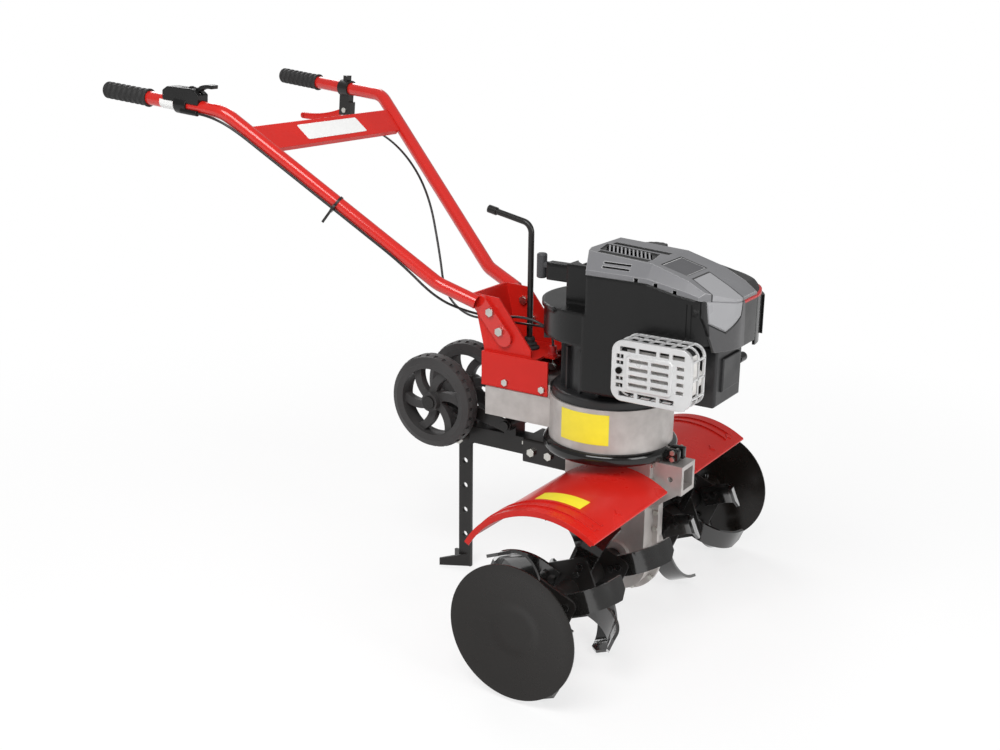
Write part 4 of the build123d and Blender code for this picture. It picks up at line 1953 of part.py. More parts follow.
nodes = {
    "tine_shaft": tine_shaft(),
    "tine_hubs": group(both(inner_hub) + both(outer_hub)),
    "tines_left": group(left_tines),
    "tines_right": group([left_right(tine, -1) for tine in left_tines]),
    "side_disc_left": side_disc(),
    "side_disc_right": left_right(side_disc(), -1),
    "tine_bolts": group(mirrored(tine_bolts(AXLE_Z))),
    "hub_pins": group(mirrored(pins)),
    "worm_wheel": worm_wheel(),
    "worm_shaft": worm_shaft(),
    "bearings_and_seals": group(shaft_bearings() + shaft_seals() + worm_bearings()),
    "gearbox_left": gearbox_half(1),
    "gearbox_right": gearbox_half(-1),
    "gearbox_bolts": group(case_bolts() + socket_bolts() + band_bolts()),
    "front_socket": front_socket(),
    "clutch_bell": clutch_bell(),
    "clamp_band": clamp_band(),
    "clutch_driven_cone": driven_cone(),
    "clutch_driver_cup": driver_cup(),
    "clutch_arm": clutch_arm(),
    "pivot_pins": group([clutch_arm_pin(), lever_pin()]),
    "crankshaft": crankshaft(),
    "flywheel": flywheel(),
    "engine_block": engine_block(),
    "cylinder_head": cylinder_head(),
    "spark_plug": spark_plug(),
    "blower_housing": blower_housing(),
    "top_cover": top_cover(),
    "front_panel": front_panel(),
    "air_filter_cover": air_filter_cover(),
    "muffler": muffler(),
    "muffler_guard": muffler_guard(),
    "fuel_tank": fuel_tank(),
    "fuel_cap": fuel_cap(),
    "starter_grip": starter_grip(),
    "fender_left": fender_left(),
    "fender_right": left_right(fender_left(), -1),
    "frame_bolts": group(screws),
    "handle_bracket": handle_bracket(),
    "handle_tube_left": handle_tube_left(),
    "handle_tube_right": left_right(handle_tube_left(), -1),
    "crossbar": crossbar(),
    "handle_grips": group(both(grip_left)),
    "throttle_housing": throttle_housing(),
    "throttle_lever": throttle_lever(),
    "clutch_bracket": clutch_bracket(),
    "clutch_lever": clutch_lever(),
    "clutch_cable": clutch_cable(),
    "throttle_cable": throttle_cable(),
    "cable_fittings": group([cable_adjuster(), cable_tie()]),
    "gear_rod": gear_rod(),
    "rod_boot": rod_boot(),
    "bar_clamp": bar_clamp(),
    "drag_bar": drag_bar(),
    "spur": spur(),
    "spur_pin": spur_pin(),
    "wheel_arms": group(both(wheel_arm_left)),
    "wheel_fixings": group([arm_pivot_pin()] + wheel_caps()),
    "wheel_left": wheel_left(),
    "wheel_right": left_right(wheel_left(), -1),
}

boxes = [shape.bounding_box() for shape in nodes.values()]
FRAME_SHIFT = -(min(b.min.X for b in boxes) + max(b.max.X for b in boxes)) / 2

os.makedirs("parts", exist_ok=True)
for name, shape in nodes.items():
    export_step(Pos(FRAME_SHIFT, 0, 0) * shape, f"parts/{name}.step")
print("pieces:", len(nodes), "frame shift:", round(FRAME_SHIFT, 3), "tine axle height:", round(AXLE_Z, 3))
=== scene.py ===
# %% [markdown]
# # A garden tiller, dressed for a studio picture
# The machine is already modelled piece by piece, and every piece comes in at its true size.
# This lesson gives each piece the finish of the real one, adds the small parts that are
# easier to shape here, and lights it on a pale floor.

# %% Load the model
import bmesh
import bpy
import json
import math
from mathutils import Matrix, Vector


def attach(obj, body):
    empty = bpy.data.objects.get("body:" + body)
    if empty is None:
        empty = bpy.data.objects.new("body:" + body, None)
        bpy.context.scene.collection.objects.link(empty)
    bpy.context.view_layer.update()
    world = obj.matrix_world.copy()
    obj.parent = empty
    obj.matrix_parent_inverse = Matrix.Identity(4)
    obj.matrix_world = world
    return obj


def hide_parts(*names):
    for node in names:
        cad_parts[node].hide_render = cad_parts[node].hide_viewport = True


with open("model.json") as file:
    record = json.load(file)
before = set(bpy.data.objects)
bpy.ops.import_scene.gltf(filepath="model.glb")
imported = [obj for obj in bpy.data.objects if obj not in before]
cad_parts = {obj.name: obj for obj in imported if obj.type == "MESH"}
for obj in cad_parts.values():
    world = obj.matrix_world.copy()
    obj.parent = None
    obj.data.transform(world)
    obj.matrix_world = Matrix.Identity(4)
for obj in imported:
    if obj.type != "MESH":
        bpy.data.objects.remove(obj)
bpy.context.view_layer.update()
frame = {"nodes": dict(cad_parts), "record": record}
NODES = frame["nodes"]
MM = 0.001

# %% [markdown]
# ## Camera
# The picture was taken from the front right, a little above the engine, with a short
# telephoto lens. The camera could be placed by eye, but its place was worked out from known
# points of the machine, so it is set by numbers. A small roll about the line of sight
# levels the machine the way the photographer held it.

# %% Set the camera
CAMERA_AT = Vector((1.5154, -2.1634, 1.2242))
CAMERA_AIM = Vector((0.1224, 0.0139, 0.4388))
CAMERA_ROLL = math.radians(0.623)
LENS_MM = 47.37
SENSOR_MM = 36.0

lens = bpy.data.cameras.new("camera")
lens.lens = LENS_MM
lens.sensor_width = SENSOR_MM
lens.sensor_fit = "HORIZONTAL"
camera = bpy.data.objects.new("camera", lens)
bpy.context.scene.collection.objects.link(camera)
aim = (CAMERA_AIM - CAMERA_AT).to_track_quat("-Z", "Y").to_matrix().to_4x4()
roll = Matrix.Rotation(CAMERA_ROLL, 4, "Z")
camera.matrix_world = Matrix.Translation(CAMERA_AT) @ aim @ roll
bpy.context.scene.camera = camera
bpy.context.scene.view_settings.view_transform = "Standard"
print("camera distance:", round((CAMERA_AIM - CAMERA_AT).length, 3))

# %% [markdown]
# ## Studio floor
# A product shot stands on a white sweep. One wide floor does the same job as the sweep. It
# adds white of its own for the camera and for reflections. Near the machine only part of it
# is added, so the soft shadow stays, and further out the floor fades to plain white, so that
# no horizon shows.

# %% Lay the floor
FLOOR_SIZE = 30.0
FLOOR_COLOUR = (0.9, 0.9, 0.9, 1)
FLOOR_WHITE = 0.72
FLOOR_FADE = (0.7, 2.2)


def link(obj):
    bpy.context.scene.collection.objects.link(obj)
    return obj


def new_nodes(owner):
    """The node tree of a material or a world, emptied."""
    owner.use_nodes = True
    tree = owner.node_tree
    tree.nodes.clear()
    return tree


def make_floor():
    shape = bmesh.new()
    bmesh.ops.create_grid(shape, x_segments=1, y_segments=1, size=FLOOR_SIZE)
    mesh = bpy.data.meshes.new("floor")
    shape.to_mesh(mesh)
    shape.free()
    floor = link(bpy.data.objects.new("floor", mesh))
    material = bpy.data.materials.new("pale floor")
    tree = new_nodes(material)
    output = tree.nodes.new("ShaderNodeOutputMaterial")
    diffuse = tree.nodes.new("ShaderNodeBsdfDiffuse")
    diffuse.inputs["Color"].default_value = FLOOR_COLOUR
    glow = tree.nodes.new("ShaderNodeEmission")
    path = tree.nodes.new("ShaderNodeLightPath")
    seen = tree.nodes.new("ShaderNodeMath")
    seen.operation = "MAXIMUM"
    tree.links.new(path.outputs["Is Camera Ray"], seen.inputs[0])
    tree.links.new(path.outputs["Is Glossy Ray"], seen.inputs[1])
    place = tree.nodes.new("ShaderNodeTexCoord")
    distance = tree.nodes.new("ShaderNodeVectorMath")
    distance.operation = "LENGTH"
    tree.links.new(place.outputs["Object"], distance.inputs[0])
    fade = tree.nodes.new("ShaderNodeMapRange")
    fade.interpolation_type = "SMOOTHSTEP"
    fade.inputs["From Min"].default_value = FLOOR_FADE[0]
    fade.inputs["From Max"].default_value = FLOOR_FADE[1]
    fade.inputs["To Min"].default_value = FLOOR_WHITE
    tree.links.new(distance.outputs["Value"], fade.inputs["Value"])
    share = tree.nodes.new("ShaderNodeMath")
    share.operation = "MULTIPLY"
    tree.links.new(fade.outputs["Result"], share.inputs[1])
    tree.links.new(seen.outputs[0], share.inputs[0])
    mix = tree.nodes.new("ShaderNodeMixShader")
    tree.links.new(share.outputs[0], mix.inputs["Fac"])
    tree.links.new(diffuse.outputs[0], mix.inputs[1])
    tree.links.new(glow.outputs[0], mix.inputs[2])
    tree.links.new(mix.outputs[0], output.inputs["Surface"])
    mesh.materials.append(material)
    print(floor.name, "half width:", FLOOR_SIZE)


make_floor()

# %% [markdown]
# ## Studio light
# Large soft boxes light the machine from the right, the front and the rear left. A white world
# fills the shadows. The camera sees it at full strength, so the background is plain white, but
# it lights the machine with only part of that, or the shadows would go flat.

# %% Light the machine
WORLD_WHITE = (1, 1, 1, 1)
WORLD_FILL = 0.36
# Place, target, size in metres and power in watts
SOFT_BOXES = {
    "key": ((0.6, -2.2, 3.0), (0.2, 0, 0.4), (2.2, 1.4), 80),
    "front": ((3.0, -0.6, 1.6), (0.3, 0, 0.5), (1.4, 1.6), 38),
    "rear": ((-2.2, 1.6, 2.4), (0, 0, 0.5), (2.0, 1.4), 44),
}


def make_world():
    world = bpy.data.worlds.new("white studio")
    bpy.context.scene.world = world
    tree = new_nodes(world)
    output = tree.nodes.new("ShaderNodeOutputWorld")
    fill = tree.nodes.new("ShaderNodeBackground")
    fill.inputs["Color"].default_value = WORLD_WHITE
    fill.inputs["Strength"].default_value = WORLD_FILL
    white = tree.nodes.new("ShaderNodeBackground")
    white.inputs["Color"].default_value = WORLD_WHITE
    path = tree.nodes.new("ShaderNodeLightPath")
    mix = tree.nodes.new("ShaderNodeMixShader")
    tree.links.new(path.outputs["Is Camera Ray"], mix.inputs["Fac"])
    tree.links.new(fill.outputs[0], mix.inputs[1])
    tree.links.new(white.outputs[0], mix.inputs[2])
    tree.links.new(mix.outputs[0], output.inputs["Surface"])


def soft_box(name, place, target, size, power):
    light = bpy.data.lights.new(name, "AREA")
    light.shape = "RECTANGLE"
    light.size, light.size_y = size
    light.energy = power
    lamp = link(bpy.data.objects.new(name, light))
    lamp.location = place
    lamp.rotation_euler = (Vector(target) - Vector(place)).to_track_quat("-Z", "Y").to_euler()


make_world()
for name, facts in SOFT_BOXES.items():
    soft_box(name, *facts)
print("soft boxes:", ", ".join(SOFT_BOXES))

# %% [markdown]
# ## Shared surface effects
# No real surface has one even gloss or one even colour. Paint is handled, plastic is moulded
# in a sand-blasted tool, castings come out of rough moulds, and every edge is a little
# rounded. The edges are also painted lighter, partly as worn paint and partly as a painted
# highlight where a rounded edge would catch the light. Each of these effects is used by many
# finishes, so it is built once as a group of shader nodes with named inputs. The groups read
# the piece's own coordinates, so a pattern stays in place when the piece moves.

# %% Start a group with its sockets
FLOAT = "NodeSocketFloat"
VECTOR = "NodeSocketVector"


def start_group(name, inputs, outputs):
    """A node group with its input and output nodes; inputs give their sockets' first values."""
    tree = bpy.data.node_groups.new(name, "ShaderNodeTree")
    for label, value in inputs.items():
        kind = VECTOR if isinstance(value, tuple) else FLOAT
        tree.interface.new_socket(label, in_out="INPUT", socket_type=kind).default_value = value
    for label, kind in outputs.items():
        tree.interface.new_socket(label, in_out="OUTPUT", socket_type=kind)
    return tree, tree.nodes.new("NodeGroupInput"), tree.nodes.new("NodeGroupOutput")


def noise(tree, scale_from, detail):
    place = tree.nodes.new("ShaderNodeTexCoord")
    texture = tree.nodes.new("ShaderNodeTexNoise")
    texture.inputs["Detail"].default_value = detail
    tree.links.new(place.outputs["Object"], texture.inputs["Vector"])
    tree.links.new(scale_from, texture.inputs["Scale"])
    return texture


def maths(tree, kind, first, second=None):
    """A Math or Vector Math node; each input is a socket to link or a constant."""
    vector = kind in ("SUBTRACT_VECTOR", "ABSOLUTE_VECTOR", "DOT_PRODUCT")
    node = tree.nodes.new("ShaderNodeVectorMath" if vector else "ShaderNodeMath")
    node.operation = kind.removesuffix("_VECTOR")
    for socket, value in zip(node.inputs, (first, second)):
        if isinstance(value, bpy.types.NodeSocket):
            tree.links.new(value, socket)
        elif value is not None:
            socket.default_value = value
    return node.outputs["Vector" if kind.endswith("_VECTOR") else "Value"]


print("helpers for shader groups are ready")

# %% [markdown]
# ### Mottling and grain
# Mottling is a slow change over a hand's breadth, and it steers both gloss and colour. Grain
# is the fine relief of a blasted mould or of powder coat. Both could be painted as images,
# but noise needs no unwrapping and has no seams.

# %% Build mottling and grain
NOISE_SPREAD = (0.3, 0.7)


def make_mottling():
    inputs = {"Scale": 30.0, "Low": 0.3, "High": 0.5}
    tree, start, end = start_group("mottling", inputs, {"Value": FLOAT, "Mask": FLOAT})
    texture = noise(tree, start.outputs["Scale"], 3.0)
    spread = tree.nodes.new("ShaderNodeMapRange")
    spread.inputs["From Min"].default_value = NOISE_SPREAD[0]
    spread.inputs["From Max"].default_value = NOISE_SPREAD[1]
    tree.links.new(texture.outputs["Fac"], spread.inputs["Value"])
    limits = tree.nodes.new("ShaderNodeMapRange")
    tree.links.new(spread.outputs["Result"], limits.inputs["Value"])
    tree.links.new(start.outputs["Low"], limits.inputs["To Min"])
    tree.links.new(start.outputs["High"], limits.inputs["To Max"])
    tree.links.new(limits.outputs["Result"], end.inputs["Value"])
    tree.links.new(spread.outputs["Result"], end.inputs["Mask"])
    return tree


def make_grain():
    tree, start, end = start_group("grain", {"Scale": 900.0}, {"Height": FLOAT})
    texture = noise(tree, start.outputs["Scale"], 2.0)
    tree.links.new(texture.outputs["Fac"], end.inputs["Height"])
    return tree


MOTTLING = make_mottling()
GRAIN = make_grain()
print("shader groups:", MOTTLING.name, GRAIN.name)

# %% [markdown]
# ### Rounded edges, worn and painted lighter
# The model's edges are sharp, and no made edge is. A Bevel node bends the normals near an
# edge as if it were rounded, which costs no geometry. Where the bent normal leaves the
# surface's own normal there is an edge, and that difference is the mask for lighter edges:
# partly worn paint and partly a painted highlight along the rounded edge. The two limits say
# how alike the normals are where the lightening starts and where it is complete. The first
# is low enough to leave out the small steps between the faces of a tube.

# %% Build edges
EDGE_LIMITS = (0.975, 0.85)
BEVEL_SAMPLES = 6


def make_edges():
    outputs = {"Normal": VECTOR, "Mask": FLOAT}
    tree, start, end = start_group("edges", {"Width": 0.001}, outputs)
    rounded = tree.nodes.new("ShaderNodeBevel")
    rounded.samples = BEVEL_SAMPLES
    tree.links.new(start.outputs["Width"], rounded.inputs["Radius"])
    flat = tree.nodes.new("ShaderNodeNewGeometry")
    likeness = maths(tree, "DOT_PRODUCT", rounded.outputs["Normal"], flat.outputs["True Normal"])
    spread = tree.nodes.new("ShaderNodeMapRange")
    spread.inputs["From Min"].default_value = EDGE_LIMITS[0]
    spread.inputs["From Max"].default_value = EDGE_LIMITS[1]
    tree.links.new(likeness, spread.inputs["Value"])
    tree.links.new(rounded.outputs["Normal"], end.inputs["Normal"])
    tree.links.new(spread.outputs["Result"], end.inputs["Mask"])
    return tree


EDGES = make_edges()
print("shader group:", EDGES.name)

# %% [markdown]
# ### Zones
# Some mouldings are printed or sprayed in a second colour, and some groups of fasteners hold
# one of another colour. A zone is a box in the piece's own coordinates, and where a box won't
# do, a flat outline seen from above or from the front. Both are simpler than a second
# material, because the model's faces stay as they are. The box is a group, and the outline,
# which needs one test for each of its sides, is written by the finish that uses it.

# %% Build the zone


def make_zone():
    inputs = {"Centre": (0.0, 0.0, 0.0), "Half": (1.0, 1.0, 1.0)}
    tree, start, end = start_group("zone", inputs, {"Mask": FLOAT})
    place = tree.nodes.new("ShaderNodeTexCoord").outputs["Object"]
    away = maths(tree, "SUBTRACT_VECTOR", place, start.outputs["Centre"])
    away = maths(tree, "ABSOLUTE_VECTOR", away)
    room = tree.nodes.new("ShaderNodeSeparateXYZ")
    tree.links.new(maths(tree, "SUBTRACT_VECTOR", start.outputs["Half"], away), room.inputs[0])
    least = maths(tree, "MINIMUM", room.outputs["X"], room.outputs["Y"])
    least = maths(tree, "MINIMUM", least, room.outputs["Z"])
    tree.links.new(maths(tree, "GREATER_THAN", least, 0.0), end.inputs["Mask"])
    return tree


ZONE = make_zone()
print("shader group:", ZONE.name)

# %% [markdown]
# ## Finishes
# The tubes, fenders and bracket are powder coated red, and the soil-working parts are dipped
# in black paint. The gearbox, socket and bell are bare castings. The engine wears moulded
# plastic. One function writes a finish from its colour, its range of roughness, its grain
# and its edges, which keeps every material comparable with its neighbours.

# %% Write one finish
COAT_ROUGHNESS = 0.08
# How far the lightest edge goes towards white: worn paint and painted highlight
WEAR_AND_HIGHLIGHT_TO_WHITE = 0.5


def place_group(tree, group, **values):
    node = tree.nodes.new("ShaderNodeGroup")
    node.node_tree = group
    for name, value in values.items():
        node.inputs[name].default_value = value
    return node


def blend_colour(tree, first, second, mask):
    """A colour between two, by a mask; each is a socket or three numbers."""
    mix = tree.nodes.new("ShaderNodeMix")
    mix.data_type = "RGBA"
    for socket, value in ((mix.inputs[6], first), (mix.inputs[7], second)):
        if isinstance(value, bpy.types.NodeSocket):
            tree.links.new(value, socket)
        else:
            socket.default_value = (*value, 1)
    tree.links.new(mask, mix.inputs["Factor"])
    return mix.outputs[2]


def outline_mask(tree, plane, outline):
    """A mask inside an outline in the plane XY or YZ, whose corners run anticlockwise there."""
    place = tree.nodes.new("ShaderNodeTexCoord").outputs["Object"]
    across, up = ["XYZ".index(letter) for letter in plane]
    mask = None
    for (u, v), (next_u, next_v) in zip(outline, outline[1:] + outline[:1]):
        inward = [0.0, 0.0, 0.0]
        inward[across], inward[up] = v - next_v, next_u - u
        reach = maths(tree, "DOT_PRODUCT", place, inward)
        inside = maths(tree, "GREATER_THAN", reach, inward[across] * u + inward[up] * v)
        mask = inside if mask is None else maths(tree, "MULTIPLY", mask, inside)
    return mask


def finish(name, colour, rough, metallic=0.0, mottle=14.0, tint=0.1, grain=None, coat=0.0,
           wear_and_highlight=0.25, edge=0.9, shine=0.5, zones=()):
    """A finish. rough is its range of roughness, tint how much it darkens in patches, grain
    its scale, strength and depth in metres, rub how much lighter its edges are, as worn paint
    and painted highlight, edge their width in millimetres, and zones are other colours, each
    in a box or in a flat outline."""
    material = bpy.data.materials.new(name)
    tree = new_nodes(material)
    output = tree.nodes.new("ShaderNodeOutputMaterial")
    surface = tree.nodes.new("ShaderNodeBsdfPrincipled")
    surface.inputs["Metallic"].default_value = metallic
    surface.inputs["Specular IOR Level"].default_value = shine
    surface.inputs["Coat Weight"].default_value = coat
    surface.inputs["Coat Roughness"].default_value = COAT_ROUGHNESS
    patches = place_group(tree, MOTTLING, Scale=mottle, Low=rough[0], High=rough[1])
    tree.links.new(patches.outputs["Value"], surface.inputs["Roughness"])
    edges = place_group(tree, EDGES, Width=edge * MM)
    shade = blend_colour(tree, colour, [c * (1 - tint) for c in colour], patches.outputs["Mask"])
    # Edges are drawn lighter: worn paint and a painted highlight
    wear_and_highlight_colour = [c + (1 - c) * wear_and_highlight * WEAR_AND_HIGHLIGHT_TO_WHITE for c in colour]
    share = maths(tree, "MULTIPLY", edges.outputs["Mask"], wear_and_highlight)
    shade = blend_colour(tree, shade, wear_and_highlight_colour, share)
    for zone_colour, first, second in zones:
        if isinstance(first, str):
            mask = outline_mask(tree, first, second)
        else:
            mask = place_group(tree, ZONE, Centre=first, Half=second).outputs["Mask"]
        shade = blend_colour(tree, shade, zone_colour, mask)
    tree.links.new(shade, surface.inputs["Base Color"])
    normal = edges.outputs["Normal"]
    if grain:
        scale, strength, depth = grain
        relief = place_group(tree, GRAIN, Scale=scale)
        bump = tree.nodes.new("ShaderNodeBump")
        bump.inputs["Strength"].default_value = strength
        bump.inputs["Distance"].default_value = depth
        tree.links.new(relief.outputs["Height"], bump.inputs["Height"])
        tree.links.new(normal, bump.inputs["Normal"])
        normal = bump.outputs["Normal"]
    tree.links.new(normal, surface.inputs["Normal"])
    tree.links.new(surface.outputs[0], output.inputs["Surface"])
    return material


def dress(node, material):
    slots = NODES[node].data.materials
    slots.clear()
    slots.append(material)


print("one function writes every finish")

# %% [markdown]
# ### Painted and plated steel
# Powder coat has a fine orange peel under a clear gloss. Dip paint on the tines is thicker
# and glossier, and it pulls away from the edges. Zinc plate is blotchy under its gloss.

# %% Finish the steel
RED = (0.62, 0.017, 0.011)
BLACK = (0.012, 0.0108, 0.01)
ZINC = (0.62, 0.61, 0.57)
PEEL = (900, 0.02, 0.00005)
FINISHES = {
    "red_paint": finish(
        "red powder coat", RED, (0.24, 0.36), grain=PEEL, coat=0.1, wear_and_highlight=0.2, shine=0.2),
    "black_steel": finish(
        "black paint", BLACK, (0.32, 0.46), grain=(600, 0.1, 0.0004), coat=0.1, wear_and_highlight=0.12,
        shine=0.35),
    "tine_steel": finish(
        "black dip paint", (0.01, 0.0095, 0.009), (0.08, 0.2), grain=(60, 0.25, 0.0012),
        coat=1.0, wear_and_highlight=0.15, shine=0.6),
    "bare_steel": finish("ground steel", (0.55, 0.55, 0.56), (0.22, 0.34), metallic=1.0),
    "zinc_steel": finish(
        "zinc plate", ZINC, (0.25, 0.4), metallic=1.0, mottle=90.0),
}
print("steel finishes:", len(FINISHES))

# %% [markdown]
# ### Castings
# The gearbox, socket and bell are die-cast aluminium: pale, matt and a little cloudy. The
# engine's castings are painted black. The gears and the clutch inside are bare metal. The
# exhaust box is given a near-white colour, partly its bright steel and partly painted light,
# so that it shows bright through the guard's slots though it lies in shade. Three dark zones
# at its top, bottom and rear are painted shade, for the dark gap round it inside the guard.

# %% Finish the castings
INK = (0.012, 0.012, 0.012)
# Painted shade: dark zones on the exhaust box's top, bottom and rear
PAINTED_BOX_SHADE = [
    (INK, (0.566, -0.168, 0.624), (0.1, 0.05, 0.020)),
    (INK, (0.566, -0.168, 0.512), (0.1, 0.05, 0.020)),
    (INK, (0.494, -0.168, 0.567), (0.020, 0.05, 0.1)),
]
FINISHES |= {
    "cast_aluminium": finish(
        "bare casting", (0.54, 0.51, 0.49), (0.42, 0.58), metallic=0.6, mottle=40.0, tint=0.14,
        grain=(420, 0.35, 0.0006), edge=1.4),
    "engine_metal": finish(
        "black casting", (0.015, 0.015, 0.016), (0.36, 0.52), grain=(420, 0.3, 0.0006),
        wear_and_highlight=0.1),
    "cast_iron": finish("turned iron", (0.24, 0.24, 0.25), (0.3, 0.46), metallic=1.0),
    "gear_bronze": finish("cut bronze", (0.6, 0.36, 0.14), (0.25, 0.4), metallic=1.0),
    # The exhaust box: a near-white colour that is partly painted light, with painted shade at its
    # edges
    "exhaust_steel": finish(
        "pale box with painted light and shade", (0.92, 0.9, 0.87), (0.35, 0.55), metallic=0.1, tint=0.2, zones=PAINTED_BOX_SHADE),
    # The guard's edges are painted much lighter, a painted highlight along its rounded edges
    "guard_paint": finish(
        "silver guard", (0.66, 0.66, 0.66), (0.26, 0.38), metallic=0.4, wear_and_highlight=0.8, edge=1.6),
}
print("finishes so far:", len(FINISHES))

# %% [markdown]
# ### Mouldings and rubber
# Moulded plastic has a fine blasted grain and a low gloss. The wheels are a harder, duller
# plastic, and the grips are soft rubber.

# %% Finish the mouldings
PLASTIC_GRAIN = (1100, 0.25, 0.0003)
CASING = (0.0075, 0.0074, 0.0074)
RED_PLASTIC = (0.55, 0.02, 0.02)
FINISHES |= {
    "black_plastic": finish(
        "black moulding", CASING, (0.2, 0.34), grain=PLASTIC_GRAIN,
        wear_and_highlight=0.1, edge=3.0, shine=0.32),
    "grey_plastic": finish(
        "grey moulding", (0.2, 0.2, 0.21), (0.34, 0.48), grain=PLASTIC_GRAIN,
        wear_and_highlight=0.5, edge=1.6),
    "red_plastic": finish("red moulding", RED_PLASTIC, (0.3, 0.45)),
    "wheel_plastic": finish(
        "wheel moulding", (0.044, 0.042, 0.042), (0.45, 0.6), grain=(800, 0.3, 0.0004),
        wear_and_highlight=0.1, shine=0.35),
    "black_rubber": finish(
        "soft rubber", (0.026, 0.0255, 0.0255), (0.5, 0.68), grain=(900, 0.3, 0.0004),
        wear_and_highlight=0.2, shine=0.35),
}
for part in frame["record"]["subparts"]:
    dress(part["node"], FINISHES[part["material_slot"]])
print("finishes:", len(FINISHES))

# %% [markdown]
# ### Pieces with a finish of their own
# A few pieces differ from their neighbours of the same material. The handle tubes are glossier
# than the other red pieces. The gear rod and the wheels' caps are painted black, and the tines'
# bolts were dipped with the tines. The housing has softer corners than the other mouldings,
# the starter grip is nearly black, and one screw on the guard is black among zinc-plated ones.
# The two fittings on the cables are a red adjuster at the engine and a black tie on the tube.

# %% Finish the single pieces
GUARD_SCREW = ((0.5055, -0.2015, 0.5674), (0.01, 0.01, 0.01))
ADJUSTER_END = ((0.6, 0, 0.5), (0.4, 1, 1))
TUBE_COAT = finish(
    "red tube coat", RED, (0.2, 0.3), grain=PEEL, coat=0.7, wear_and_highlight=0.2, shine=0.3)
for node in ("handle_tube_left", "handle_tube_right"):
    dress(node, TUBE_COAT)
for node in ("gear_rod", "wheel_fixings"):
    dress(node, FINISHES["black_steel"])
for node in ("tine_bolts", "hub_pins"):
    dress(node, FINISHES["tine_steel"])
dress("blower_housing", finish(
    "housing moulding", CASING, (0.16, 0.28), grain=PLASTIC_GRAIN, wear_and_highlight=0.06, edge=8.0,
    shine=0.28))
dress("starter_grip", finish(
    "dark moulding", (0.045, 0.045, 0.048), (0.36, 0.5), grain=PLASTIC_GRAIN, edge=1.4))
dress("frame_bolts", finish(
    "zinc plate and one black screw", ZINC, (0.25, 0.4), metallic=1.0, mottle=90.0,
    zones=[(BLACK, *GUARD_SCREW)]))
dress("cable_fittings", finish(
    "black tie and red adjuster", BLACK, (0.32, 0.46), wear_and_highlight=0.1,
    zones=[(RED_PLASTIC, *ADJUSTER_END)]))
print("single finishes: tubes, rod, bolts, housing, grip, fittings")

# %% [markdown]
# ### The engine's top cover
# The grey cover is moulded in one colour, and its grille and grooves are filled in black. On
# its front slope lies a bare label with a pale border. In front of it a light shield with a
# black outline runs over the nose and down the panel. The zones follow the hollows of the
# moulding, so the colours end where the steps are. Both ends of the panel are black, so they
# read as one with the housing's corner and with the filter cover and its red rim.

# %% Finish the top cover and the front panel
FIELD = (0.075, 0.075, 0.08)
BORDER = (0.5, 0.5, 0.5)
LIGHT = (0.3, 0.3, 0.31)
OUTLINE_W = 0.0025
SHIELD_TOP = [(0.68, -0.131), (0.68, -0.053), (0.596, -0.040), (0.596, -0.108)]
SHIELD_FOOT = [
    (-0.126, 0.6544), (-0.093, 0.6354), (-0.058, 0.6604), (-0.052, 0.7044), (-0.132, 0.7044)]
GRILLE = [(0.4020, -0.0944), (0.5104, -0.0944), (0.4993, -0.0436), (0.3909, -0.0436)]


def grow(outline, by):
    """An outline drawn larger about its middle."""
    middle = [sum(values) / len(outline) for values in zip(*outline)]
    reach = max(math.dist(corner, middle) for corner in outline)
    return [tuple(m + (c - m) * (1 + by / reach) for c, m in zip(corner, middle))
            for corner in outline]


LABEL_AT = (0.557, -0.064, 0.72)
COVER_ZONES = [
    (INK, (0.4583, -0.107, 0.74), (0.0505, 0.0084, 0.03)),
    (INK, (0.4553, -0.028, 0.74), (0.0575, 0.0084, 0.03)),
    (INK, "XY", GRILLE),
    (INK, LABEL_AT, (0.0265, 0.0414, 0.03)),
    (BORDER, LABEL_AT, (0.0247, 0.0396, 0.03)),
    (FIELD, LABEL_AT, (0.0232, 0.0381, 0.03)),
    (INK, "XY", grow(SHIELD_TOP, 2 * OUTLINE_W)),
    (LIGHT, "XY", SHIELD_TOP),
]
# The cover's edges are painted much lighter, a painted highlight along its rounded edges
dress("top_cover", finish(
    "grey cover moulding", (0.17, 0.17, 0.178), (0.26, 0.4), grain=PLASTIC_GRAIN, wear_and_highlight=0.9,
    edge=3.0, zones=COVER_ZONES))
RIM = ((0.45, 0.012, 0.012), (0.64, 0.033, 0.688), (0.1, 0.077, 0.009))
PANEL_CORNER = [
    (-0.15, 0.59), (-0.119, 0.59), (-0.126, 0.6544), (-0.1335, 0.71), (-0.15, 0.71)]
PANEL_END = [(-0.036, 0.59), (0.02, 0.59), (0.02, 0.71), (-0.044, 0.71)]
PANEL_ZONES = [
    (CASING, "YZ", PANEL_CORNER), (CASING, "YZ", PANEL_END), RIM,
    (INK, "YZ", grow(SHIELD_FOOT, 2 * OUTLINE_W)), (LIGHT, "YZ", SHIELD_FOOT)]
dress("front_panel", finish(
    "grey panel moulding", (0.066, 0.065, 0.067), (0.26, 0.4), grain=PLASTIC_GRAIN, wear_and_highlight=0.4,
    edge=3.0, zones=PANEL_ZONES))
dress("air_filter_cover", finish(
    "black moulding with a red rim", CASING, (0.2, 0.34), grain=PLASTIC_GRAIN,
    wear_and_highlight=0.1, edge=3.0, shine=0.35, zones=[RIM]))
print("zones on the cover:", len(COVER_ZONES), "corners of the shield:", len(SHIELD_FOOT))

# %% [markdown]
# ## Control cables
# Two cables run from the hand controls to the engine. Each is a stiff sheath, fixed at both
# ends and tied or threaded in between. A row of cylinders would look like bent wire, so each
# cable is one smooth curve with the route's points as its control points, and the curve's
# own bevel gives it its thickness.

